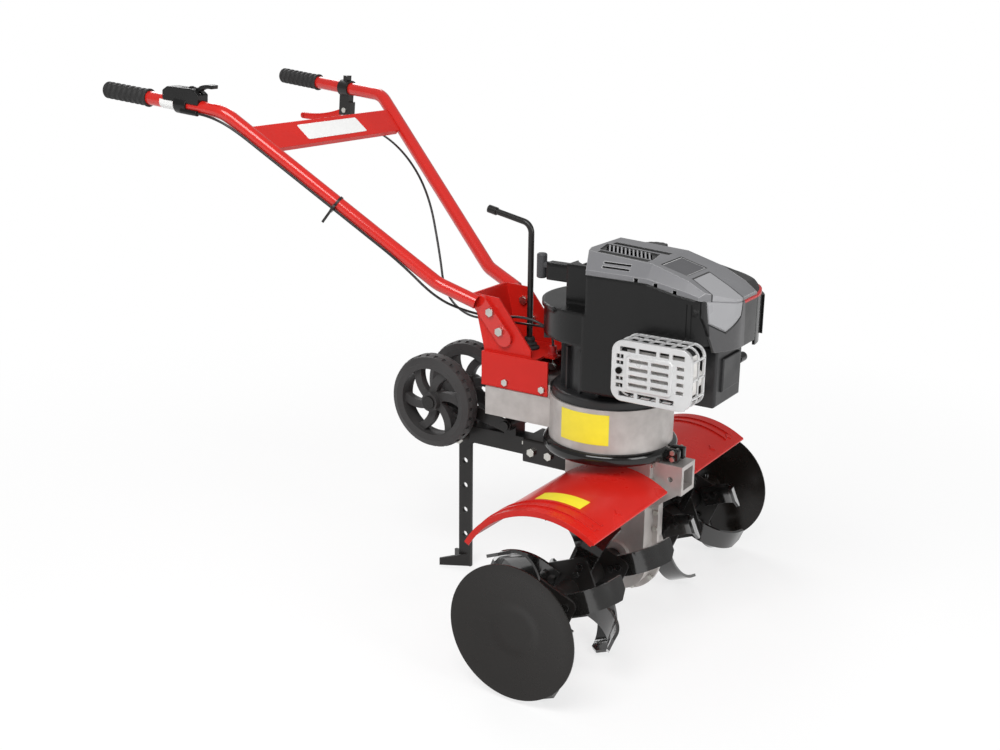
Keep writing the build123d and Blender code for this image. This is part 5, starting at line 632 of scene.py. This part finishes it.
# %% Lay the cables
CABLE_R = 0.0025
CLUTCH_ROUTE = (
    (-0.4556, 0.2575, 0.8957), (-0.4357, 0.2564, 0.8939), (-0.3979, 0.2542, 0.8904),
    (-0.2597, 0.2000, 0.8520), (-0.1647, 0.1650, 0.7700), (-0.0997, 0.1150, 0.6500),
    (-0.0597, 0.0750, 0.5750), (0.0303, 0.0240, 0.5480), (0.1003, 0.0200, 0.5530),
    (0.1403, 0.0200, 0.5530), (0.2053, -0.0260, 0.5680), (0.2663, -0.0200, 0.5680),
    (0.2663, -0.0200, 0.5322),
)
THROTTLE_ROUTE = (
    (-0.4119, -0.2696, 0.9560), (-0.3828, -0.2679, 0.9533), (-0.3329, -0.2577, 0.9329),
    (-0.2679, -0.2317, 0.8808), (-0.0879, -0.1597, 0.7363), (-0.0179, -0.1317, 0.6801),
    (0.0353, -0.0860, 0.6060), (0.0903, -0.0460, 0.5780), (0.1453, -0.0460, 0.5780),
    (0.2303, -0.0460, 0.5900), (0.2713, -0.0300, 0.5620), (0.3013, -0.0300, 0.5620),
)
SHEATH = finish(
    "cable sheath", (0.014, 0.0138, 0.0138), (0.28, 0.4), mottle=60.0, grain=(500, 0.1, 0.0002),
    wear_and_highlight=0.0, edge=0.3)


def line_length(curve):
    """The length of a curve's own line, read from a mesh of it without thickness."""
    depth, curve.data.bevel_depth = curve.data.bevel_depth, 0.0
    line = bpy.data.meshes.new_from_object(curve)
    curve.data.bevel_depth = depth
    ends = [[line.vertices[i].co for i in edge.vertices] for edge in line.edges]
    return sum((a - b).length for a, b in ends)


def lay_cable(name, node, route):
    data = bpy.data.curves.new(name, "CURVE")
    data.dimensions = "3D"
    data.bevel_resolution = 3
    data.use_fill_caps = True
    data.resolution_u = 16
    spline = data.splines.new("NURBS")
    spline.points.add(len(route) - 1)
    for point, place in zip(spline.points, route):
        point.co = (*place, 1)
    spline.order_u = 3
    spline.use_endpoint_u = True
    data.materials.append(SHEATH)
    sheath = link(bpy.data.objects.new(name, data))
    length = line_length(sheath)
    data.bevel_depth = CABLE_R
    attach(sheath, "frame")
    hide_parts(node)
    print(name, "length:", round(length, 3))


lay_cable("clutch_sheath", "clutch_cable", CLUTCH_ROUTE)
lay_cable("throttle_sheath", "throttle_cable", THROTTLE_ROUTE)

# %% [markdown]
# ## Turned and swept pieces
# The grips, the side discs, the clamp band and the two levers are round or swept shapes with
# soft edges. Each starts as a line or a face and is spun about an axis. A full spin's last ring
# is merged with its first. Edges are bevelled where a mould would round them, and faces are
# shaded smooth except where they meet at a real corner.

# %% Helpers for finished pieces


def new_piece(name, shape, material, body="frame"):
    """A piece on a body from a finished bmesh."""
    bmesh.ops.recalc_face_normals(shape, faces=shape.faces)
    mesh = bpy.data.meshes.new(name)
    shape.to_mesh(mesh)
    shape.free()
    mesh.materials.append(material)
    piece = link(bpy.data.objects.new(name, mesh))
    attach(piece, body)
    return piece


def sharp_edges(shape, degrees):
    """The edges where two faces meet at more than an angle."""
    limit = math.radians(degrees)
    return [e for e in shape.edges if e.is_manifold and e.calc_face_angle() > limit]


def shade_smooth(shape, degrees=35):
    sharp = set(sharp_edges(shape, degrees))
    for face in shape.faces:
        face.smooth = True
    for edge in shape.edges:
        edge.smooth = edge not in sharp


def round_off(shape, parts, radius, segments, affect="EDGES"):
    """Bevel edges round, or with VERTICES the corners of a flat face."""
    bmesh.ops.bevel(shape, geom=parts, offset=radius * MM, segments=segments, profile=0.5,
                    affect=affect, material=-1)


def axes(along, origin):
    """A frame with X along a line, Z up and Y across."""
    across = Vector((0, 0, 1)).cross(along).normalized()
    turned = Matrix((along, across, along.cross(across))).transposed().to_4x4()
    return Matrix.Translation(origin) @ turned


print("helpers for finished pieces are ready")

# %% [markdown]
# ### Shapes to start from
# A turned piece is a line spun once round an axis. A bent bar is a flat face spun part of a
# turn. Lugs, bars and ribs are cubes, and a boss is a cylinder that lies across the machine.
# All of these are given in millimetres.

# %% Helpers for shapes


def spin_profile(shape, profile, steps):
    """Sweep a line of places along the X axis and radii once round that axis."""
    points = [shape.verts.new((x * MM, 0, radius * MM)) for x, radius in profile]
    lines = [shape.edges.new(pair) for pair in zip(points, points[1:])]
    bmesh.ops.spin(shape, geom=points + lines, cent=(0, 0, 0), axis=(1, 0, 0),
                   angle=2 * math.pi, steps=steps, use_merge=True)
    bmesh.ops.remove_doubles(shape, verts=shape.verts, dist=1e-6)
    bmesh.ops.recalc_face_normals(shape, faces=shape.faces)


def sweep_face(shape, place, size, centre, angle, steps):
    """Sweep a face that stands across a place's X axis, about a cross axis through a centre."""
    facing = place @ Matrix.Rotation(math.radians(90), 4, "Y")
    sides = Matrix.Diagonal((*(side * MM for side in size), 1, 1))
    start = bmesh.ops.create_grid(shape, x_segments=1, y_segments=1, size=0.5,
                                  matrix=facing @ sides)
    faces = list({face for vert in start["verts"] for face in vert.link_faces})
    bmesh.ops.spin(shape, geom=faces, cent=centre, axis=(0, 1, 0), angle=angle, steps=steps,
                   use_merge=False)


def add_cube(shape, place, size):
    """Add a cube drawn out to a size, and return its corners."""
    sides = Matrix.Diagonal((*(side * MM for side in size), 1))
    return bmesh.ops.create_cube(shape, size=1, matrix=place @ sides)["verts"]


def add_boss(shape, middle, radius, wide, segments):
    """Add a cylinder that lies across."""
    place = Matrix.Translation(middle) @ Matrix.Rotation(math.radians(90), 4, "X")
    bmesh.ops.create_cone(shape, cap_ends=True, segments=segments, radius1=radius * MM,
                          radius2=radius * MM, depth=wide * MM, matrix=place)


print("helpers for shapes are ready")

# %% [markdown]
# ### Grips
# A moulded rubber grip has bold rings, a closed end and a small flange. One line with a step
# for each ring is spun round the tube's axis, its corners are rounded, and a mirror makes the
# other grip.

# %% Spin the grips
TUBE_END = Vector((-0.661708, -0.269, 0.989))
TUBE_BEND = Vector((-0.357708, -0.252, 0.961))
TUBE_RUN = (TUBE_BEND - TUBE_END).normalized()
RINGS = 7
RING_FIRST, RING_PITCH = 5.0, 14.2
RING_STEPS = ((0, 15.1), (1.4, 17.4), (6.6, 17.4), (8.0, 15.1))
GRIP_END = [(-4, 0), (-4, 15.4), (-1.5, 17.2), (1, 17.2), (2.2, 15.1)]
GRIP_FLANGE = [(106, 15.1), (107.5, 18.6), (112, 18.6), (112, 14.1)]
GRIP_BORE = [(0.1, 14.1), (0.1, 0)]
GRIP_ROUND = 0.7


def make_grips():
    starts = [RING_FIRST + ring * RING_PITCH for ring in range(RINGS)]
    rings = [(start + x, radius) for start in starts for x, radius in RING_STEPS]
    shape = bmesh.new()
    spin_profile(shape, GRIP_END + rings + GRIP_FLANGE + GRIP_BORE, 48)
    round_off(shape, sharp_edges(shape, 25), GRIP_ROUND, 2)
    bmesh.ops.transform(shape, matrix=axes(TUBE_RUN, TUBE_END), verts=shape.verts)
    everything = shape.verts[:] + shape.edges[:] + shape.faces[:]
    bmesh.ops.mirror(shape, geom=everything, matrix=Matrix.Identity(4), merge_dist=0,
                     axis="Y")
    shade_smooth(shape)
    piece = new_piece("ringed_grips", shape, FINISHES["black_rubber"])
    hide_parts("handle_grips")
    return piece


grips = make_grips()
print(grips.name, "faces:", len(grips.data.polygons))

# %% [markdown]
# ### Side discs
# Each disc is pressed from sheet as a shallow bowl with a flat seat in the middle, and a
# sleeve is welded on behind. The section is a line from the middle over the rim and back to
# the sleeve, spun round the axle. The paint is the tines' dip, but satin.

# %% Spin the side discs
AXLE = (0.430292, 0, 0.1344)
BOWL_R, BOWL_DEEP = 116.0, 12.0
BOWL_Y = 412.0
SHEET_T = 3.0
SEAT_R, SEAT_DEEP = 30.0, 2.3
SHOULDER = 26.0
SEAT_RADII = (0, 10, 20)
SLEEVE_R = 27
OUTER_RADII = (*range(28, 60, 2), 70, 82, 94, 106, BOWL_R)
DISC_RIM = [(425, 126), (422, 126)]
SLEEVE = [(372, SLEEVE_R), (372, 21.2), (409, 21.2), (409, 0)]
SATIN = finish(
    "satin dip paint", (0.0092, 0.0073, 0.006), (0.2, 0.32), grain=(260, 0.05, 0.0005),
    shine=0.34, wear_and_highlight=0.12)


def pressed(radius):
    """How far out the sheet lies: a bowl, less the seat, which fades out over its shoulder."""
    out = min(max((radius - SEAT_R) / SHOULDER, 0.0), 1.0)
    seat = SEAT_DEEP * (0.5 + 0.5 * math.cos(math.pi * out))
    return BOWL_Y + BOWL_DEEP * (radius / BOWL_R) ** 2 - seat


def make_disc(name, node, turn):
    face = [(pressed(r), r) for r in SEAT_RADII + OUTER_RADII]
    back = [(pressed(r) - SHEET_T, r) for r in reversed((SLEEVE_R, *OUTER_RADII))]
    shape = bmesh.new()
    spin_profile(shape, face + DISC_RIM + back + SLEEVE, 96)
    place = Matrix.Translation(AXLE) @ Matrix.Rotation(math.radians(turn), 4, "Z")
    bmesh.ops.transform(shape, matrix=place, verts=shape.verts)
    shade_smooth(shape)
    piece = new_piece(name, shape, SATIN, "tine_rotor")
    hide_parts(node)
    print(name, "faces:", len(piece.data.polygons))


make_disc("pressed_disc_left", "side_disc_left", 90)
make_disc("pressed_disc_right", "side_disc_right", -90)

# %% [markdown]
# ### Clamp band
# The band that holds the bell on the gearbox is rolled from strip, with a rounded back and two
# lips that grip the flanges. A square section would mirror the floor as one grey stripe, so
# the section is a face with its outer corners bevelled round, and it is spun about the bell's
# axis from one side of the split to the other. Two bevelled cubes are the lugs.

# %% Roll the band
BELL_AXIS = (0.389292, 0, 0)
BAND_Z = (345.4, 369.4)
BAND_R = (121.3, 131.3)
GROOVE_Z, GROOVE_R = (348.4, 366.4), 126.3
BAND_ROUND = 9.5
LUG_X, LUG_Y = (127.0, 155.0), (6.0, 18.0)
LUG_ROUND = 3.0
BAND_PAINT = finish(
    "band paint", (0.008, 0.0077, 0.0074), (0.1, 0.18), coat=0.2, wear_and_highlight=0.1, shine=0.4)


def make_band():
    (low, top), (lip, back) = BAND_Z, BAND_R
    section = [(lip, low), (back, low), (back, top), (lip, top), (lip, GROOVE_Z[1]),
               (GROOVE_R, GROOVE_Z[1]), (GROOVE_R, GROOVE_Z[0]), (lip, GROOVE_Z[0])]
    shape = bmesh.new()
    points = [shape.verts.new((radius * MM, 0, z * MM)) for radius, z in section]
    shape.faces.new(points)
    round_off(shape, points[1:3], BAND_ROUND, 6, "VERTICES")
    split = math.asin(LUG_Y[0] / back)
    bmesh.ops.rotate(shape, cent=(0, 0, 0), matrix=Matrix.Rotation(split, 3, "Z"),
                     verts=shape.verts)
    bmesh.ops.spin(shape, geom=shape.faces[:], cent=(0, 0, 0), axis=(0, 0, 1),
                   angle=2 * (math.pi - split), steps=120, use_merge=False)
    lug_size = (LUG_X[1] - LUG_X[0], LUG_Y[1] - LUG_Y[0], top - low)
    for side in (1, -1):
        middle = Vector((sum(LUG_X), side * sum(LUG_Y), low + top)) * MM / 2
        lug = add_cube(shape, Matrix.Translation(middle), lug_size)
        round_off(shape, list({edge for vert in lug for edge in vert.link_edges}), LUG_ROUND, 3)
    bmesh.ops.translate(shape, vec=BELL_AXIS, verts=shape.verts)
    bmesh.ops.recalc_face_normals(shape, faces=shape.faces)
    shade_smooth(shape)
    piece = new_piece("rolled_band", shape, BAND_PAINT)
    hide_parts("clamp_band")
    return piece


band = make_band()
print(band.name, "faces:", len(band.data.polygons))

# %% [markdown]
# ### Throttle paddle
# The throttle is worked with the thumb, so its end is a wide paddle that rises and levels off.
# A flat face is spun part of a turn to make the paddle, and a plain bar and a round plate join
# it to its pivot.

# %% Sweep the paddle
THROTTLE_X = 0.204
THROTTLE_AT = TUBE_END + TUBE_RUN * (THROTTLE_X / TUBE_RUN.x)
PIVOT = Vector((20, 0, 28)) * MM
PIVOT_R, PIVOT_W = 12.0, 6.0
PADDLE_BAR_AT = Vector((35, 0, 34)) * MM
PADDLE_BAR = (34.0, 6.0, 9.0)
PADDLE_AT = Vector((46, 0, 39.5)) * MM
PADDLE_SIZE = (7.5, 20.0)
PADDLE_RISE = math.radians(25)
PADDLE_SWEEP = math.radians(30)
PADDLE_BEND_R = 60 * MM
PADDLE_ROUND = 1.2


def make_paddle():
    shape = bmesh.new()
    add_boss(shape, PIVOT, PIVOT_R, PIVOT_W, 40)
    tilt = Matrix.Rotation(-PADDLE_RISE, 4, "Y")
    add_cube(shape, Matrix.Translation(PADDLE_BAR_AT) @ tilt, PADDLE_BAR)
    below = PADDLE_AT + tilt @ Vector((0, 0, -PADDLE_BEND_R))
    sweep_face(shape, Matrix.Translation(PADDLE_AT) @ tilt, PADDLE_SIZE, below, PADDLE_SWEEP, 14)
    bmesh.ops.recalc_face_normals(shape, faces=shape.faces)
    round_off(shape, sharp_edges(shape, 40), PADDLE_ROUND, 3)
    bmesh.ops.transform(shape, matrix=axes(TUBE_RUN, THROTTLE_AT), verts=shape.verts)
    shade_smooth(shape)
    piece = new_piece("throttle_paddle", shape, FINISHES["black_plastic"],
                      "throttle_lever")
    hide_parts("throttle_lever")
    return piece


paddle = make_paddle()
print(paddle.name, "faces:", len(paddle.data.polygons))

# %% [markdown]
# ### Clutch lever
# The clutch lever is a cast arm that falls away from its pivot and then runs along under the
# grip. Its blade is a flat face spun part of a turn about a point above, with a round end. A
# spun ring makes the eye for the pin, and a short horn below it takes the cable.

# %% Sweep the lever
LEVER_PIVOT = Vector((-0.465291, 0.258016, 0.920698))
LEVER_RUN = Vector((TUBE_RUN.x, -TUBE_RUN.y, TUBE_RUN.z))
LEVER_T, LEVER_H = 8.0, 14.0
LEVER_EYE = (4.6, 10.0)
LEVER_HORN, HORN_W = 24.0, 12.0
HORN_ROOT = 7.0
LEVER_ROOT = 7.0
LEVER_FALL = math.radians(-25)
LEVER_SWEEP = math.radians(23)
LEVER_BEND_R = 335.0
LEVER_ROUND = 1.2


def make_lever():
    half = LEVER_T / 2
    hole, rim = LEVER_EYE
    shape = bmesh.new()
    eye = [(-half, hole), (-half, rim), (half, rim), (half, hole), (-half, hole)]
    spin_profile(shape, eye, 40)
    bmesh.ops.transform(shape, matrix=Matrix.Rotation(math.radians(90), 4, "Z"),
                        verts=shape.verts)
    horn_middle = Vector((0, 0, -(HORN_ROOT + LEVER_HORN) / 2)) * MM
    add_cube(shape, Matrix.Translation(horn_middle), (HORN_W, LEVER_T, LEVER_HORN - HORN_ROOT))
    add_boss(shape, Vector((0, 0, -LEVER_HORN)) * MM, HORN_W / 2, LEVER_T, 32)
    fall = Matrix.Rotation(LEVER_FALL, 4, "Y")
    root = fall @ Vector((-LEVER_ROOT, 0, 0)) * MM
    above = root + fall @ Vector((0, 0, LEVER_BEND_R)) * MM
    tip = above + Matrix.Rotation(LEVER_SWEEP, 4, "Y") @ (root - above)
    sweep_face(shape, Matrix.Translation(root) @ fall, (LEVER_H, LEVER_T), above, LEVER_SWEEP, 24)
    add_boss(shape, tip, LEVER_H / 2, LEVER_T, 32)
    bmesh.ops.recalc_face_normals(shape, faces=shape.faces)
    round_off(shape, sharp_edges(shape, 40), LEVER_ROUND, 2)
    bmesh.ops.transform(shape, matrix=axes(LEVER_RUN, LEVER_PIVOT), verts=shape.verts)
    shade_smooth(shape)
    piece = new_piece("curved_lever", shape, FINISHES["red_paint"], "clutch_lever")
    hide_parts("clutch_lever")
    return piece


lever = make_lever()
print(lever.name, "faces:", len(lever.data.polygons))

# %% [markdown]
# ### Muffler guard
# The guard is a die-cast cage. Its face is slotted and its walls are open, so the dark gap round
# the exhaust box shows between their ribs. The model's guard has the right face, but its walls
# are nearly closed. A copy of it is cut off behind the face and the cut is closed. A ring in
# the middle, a ring at the housing and a row of ribs on each side then take the walls' place.

# %% Build the cage
CAGE_MIDDLE = Vector((566.292, 0, 567.4)) * MM
CAGE_SIZE = (152.0, 110.0)
CAGE_R = 22.0
CAGE_CUT = -191.5
# Place, depth and width of each ring
CAGE_RINGS = ((-170.0, 3.0, 3.5), (-146.0, 4.0, 4.5))
RIB = 3.6
RIB_Y = (-192.5, -144.0)
RIBS_ACROSS = (-52.0, -31.0, -10.0, 11.0, 32.0, 53.0)
RIBS_UP = (-33.0, 0.0, 33.0)


def add_ring(shape, y, deep, wide):
    """Add a ring that follows the guard's outline, at one depth."""
    flat = bmesh.new()
    bmesh.ops.create_grid(flat, x_segments=1, y_segments=1, size=0.5)
    bmesh.ops.scale(flat, vec=(*(side * MM for side in CAGE_SIZE), 1), verts=flat.verts)
    round_off(flat, flat.verts[:], CAGE_R, 8, "VERTICES")
    inside = flat.faces[:]
    bmesh.ops.inset_region(flat, faces=inside, thickness=wide * MM, use_boundary=True,
                           use_even_offset=True)
    bmesh.ops.delete(flat, geom=inside, context="FACES")
    bmesh.ops.solidify(flat, geom=flat.faces[:], thickness=deep * MM)
    upright = Matrix.Rotation(math.radians(90), 4, "X")
    place = Matrix.Translation(CAGE_MIDDLE + Vector((0, y * MM, 0))) @ upright
    bmesh.ops.transform(flat, matrix=place, verts=flat.verts)
    mesh = bpy.data.meshes.new("ring")
    flat.to_mesh(mesh)
    flat.free()
    shape.from_mesh(mesh)
    bpy.data.meshes.remove(mesh)


def make_cage():
    shape = bmesh.new()
    shape.from_mesh(NODES["muffler_guard"].data)
    bmesh.ops.remove_doubles(shape, verts=shape.verts, dist=1e-6)
    everything = shape.verts[:] + shape.edges[:] + shape.faces[:]
    cut = bmesh.ops.bisect_plane(shape, geom=everything, plane_co=(0, CAGE_CUT * MM, 0),
                                 plane_no=(0, 1, 0), clear_outer=True)
    rims = [part for part in cut["geom_cut"] if isinstance(part, bmesh.types.BMEdge)]
    bmesh.ops.bridge_loops(shape, edges=rims)
    for ring in CAGE_RINGS:
        add_ring(shape, *ring)
    half_wide, half_high = [(side - RIB) / 2 for side in CAGE_SIZE]
    spots = [(x, side * half_high) for x in RIBS_ACROSS for side in (1, -1)]
    spots += [(side * half_wide, z) for z in RIBS_UP for side in (1, -1)]
    for x, z in spots:
        middle = CAGE_MIDDLE + Vector((x, sum(RIB_Y) / 2, z)) * MM
        add_cube(shape, Matrix.Translation(middle), (RIB, RIB_Y[1] - RIB_Y[0], RIB))
    piece = new_piece("open_guard", shape, FINISHES["guard_paint"])
    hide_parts("muffler_guard")
    return piece


cage = make_cage()
print(cage.name, "faces:", len(cage.data.polygons))

# %% [markdown]
# ### Grille slats
# Light slats lie across the black hollow on top of the cover. Each is a cube scaled to a
# strip and sheared, because the slats lean while their ends stay in line with the hollow.

# %% Lay the slats
COVER_AT = Vector((0.384292, 0, 0.7534))
COVER_RUN = Vector((138, 0, -9)).normalized()
SLATS = 11
SLAT_FIRST, SLAT_PITCH = 36.9, 8.083
SLAT_SIZE = (3.2, 44.0, 1.8)
SLAT_Y, SLAT_Z = -69.0, -1.25
HOLLOW_W = 42.0
SLAT_LEAN = -22.0 / HOLLOW_W


def make_slats():
    lean = Matrix.Identity(4)
    lean[0][1] = SLAT_LEAN
    shape = bmesh.new()
    for number in range(SLATS):
        x = SLAT_FIRST + number * SLAT_PITCH + HOLLOW_W / 2 * SLAT_LEAN
        place = Matrix.Translation(Vector((x, SLAT_Y, SLAT_Z)) * MM)
        add_cube(shape, axes(COVER_RUN, COVER_AT) @ place @ lean, SLAT_SIZE)
    material = finish("light slats", LIGHT, (0.26, 0.4), grain=PLASTIC_GRAIN, wear_and_highlight=0.2, edge=0.5)
    return new_piece("grille_slats", shape, material)


slats = make_slats()
print(slats.name, "faces:", len(slats.data.polygons))

# %% [markdown]
# ## Labels
# The machine carries a few stuck-on labels, here left plain. A label on a round surface is a
# strip swept round that surface's own axis, so it lies on it everywhere. It starts as one
# straight edge, a spin sweeps it, and solidify gives it the thickness of vinyl.

# %% Stick on the labels
VINYL_T = 0.0003
LIFT = 0.00015
YELLOW = finish(
    "yellow vinyl", (0.9, 0.76, 0.03), (0.3, 0.42), mottle=60.0, tint=0.06, wear_and_highlight=0.0)
WHITE = finish(
    "white vinyl", (0.88, 0.88, 0.87), (0.3, 0.42), mottle=60.0, tint=0.05, wear_and_highlight=0.0)


def wrap_label(name, edge, centre, axis, degrees, material):
    """A label whose edge sweeps about an axis."""
    shape = bmesh.new()
    ends = [shape.verts.new(end) for end in edge]
    line = shape.edges.new(ends)
    bmesh.ops.spin(shape, geom=ends + [line], cent=centre, axis=axis,
                   angle=math.radians(degrees), steps=28, use_merge=False)
    bmesh.ops.recalc_face_normals(shape, faces=shape.faces)
    bmesh.ops.solidify(shape, geom=shape.faces[:], thickness=VINYL_T)
    piece = new_piece(name, shape, material)
    print(name, "faces:", len(piece.data.polygons))


def around(centre, radius, degrees, along):
    """A point on a circle about an upright or a cross axis through a centre."""
    turn = math.radians(degrees)
    u, v = math.cos(turn), math.sin(turn)
    return Vector(centre) + Vector((u, v, 0) if along == "Z" else (u, 0, v)) * radius


BELL_R = 0.121 + LIFT + VINYL_T
BELL_LABEL_Z = (0.386, 0.446)
BELL_LABEL_FROM, BELL_LABEL_TURN = -113, 49
foot = around(BELL_AXIS, BELL_R, BELL_LABEL_FROM, "Z")
wrap_label("bell_label", [foot + Vector((0, 0, z)) for z in BELL_LABEL_Z], BELL_AXIS,
           (0, 0, 1), BELL_LABEL_TURN, YELLOW)

FENDER_R = 0.190 + LIFT + VINYL_T
FENDER_LABEL_Y = (-0.266, -0.226)
FENDER_LABEL_FROM, FENDER_LABEL_TURN = 77.5, 29
front = around(AXLE, FENDER_R, FENDER_LABEL_FROM, "Y")
wrap_label("fender_label", [front + Vector((0, y, 0)) for y in FENDER_LABEL_Y], AXLE,
           (0, -1, 0), FENDER_LABEL_TURN, YELLOW)

TUBE_R = 0.014 + LIFT + VINYL_T
TUBE_LABEL_X = (0.150, 0.186)
TUBE_LABEL_FROM, TUBE_LABEL_TURN = -22, 95
turned = axes(TUBE_RUN, TUBE_END) @ Matrix.Rotation(math.radians(TUBE_LABEL_FROM), 4, "X")
side_line = [turned @ Vector((x, -TUBE_R, 0)) for x in TUBE_LABEL_X]
wrap_label("tube_label", side_line, TUBE_END, TUBE_RUN, TUBE_LABEL_TURN, WHITE)

# %% [markdown]
# ## Plate on the crossbar
# The crossbar has a shallow pressing with a plain white plate over it. The plate is one grid
# face with its corners bevelled round, thickened, and laid on the crossbar's face.

# %% Lay the plate
BAR_MIDDLE = Vector((-0.294708, 0, 0.910443))
BAR_RUN = Vector((0.400, 0, -0.321)).normalized()
BAR_UP = BAR_RUN.cross(Vector((0, 1, 0)))
PLATE_SIZE = (0.042, 0.19)
PLATE_CORNER = 4.0
PLATE_T = 0.0006
PLATE_SEAT = 0.003


def make_plate():
    shape = bmesh.new()
    bmesh.ops.create_grid(shape, x_segments=1, y_segments=1, size=0.5)
    bmesh.ops.scale(shape, vec=(*PLATE_SIZE, 1), verts=shape.verts)
    round_off(shape, shape.verts[:], PLATE_CORNER, 5, "VERTICES")
    bmesh.ops.solidify(shape, geom=shape.faces[:], thickness=-PLATE_T)
    seat = BAR_MIDDLE + BAR_UP * (PLATE_SEAT + LIFT)
    frame_of_bar = Matrix((BAR_RUN, (0, 1, 0), BAR_UP)).transposed().to_4x4()
    bmesh.ops.transform(shape, matrix=Matrix.Translation(seat) @ frame_of_bar,
                        verts=shape.verts)
    return new_piece("crossbar_plate", shape, WHITE)


plate = make_plate()
print(plate.name, "faces:", len(plate.data.polygons))
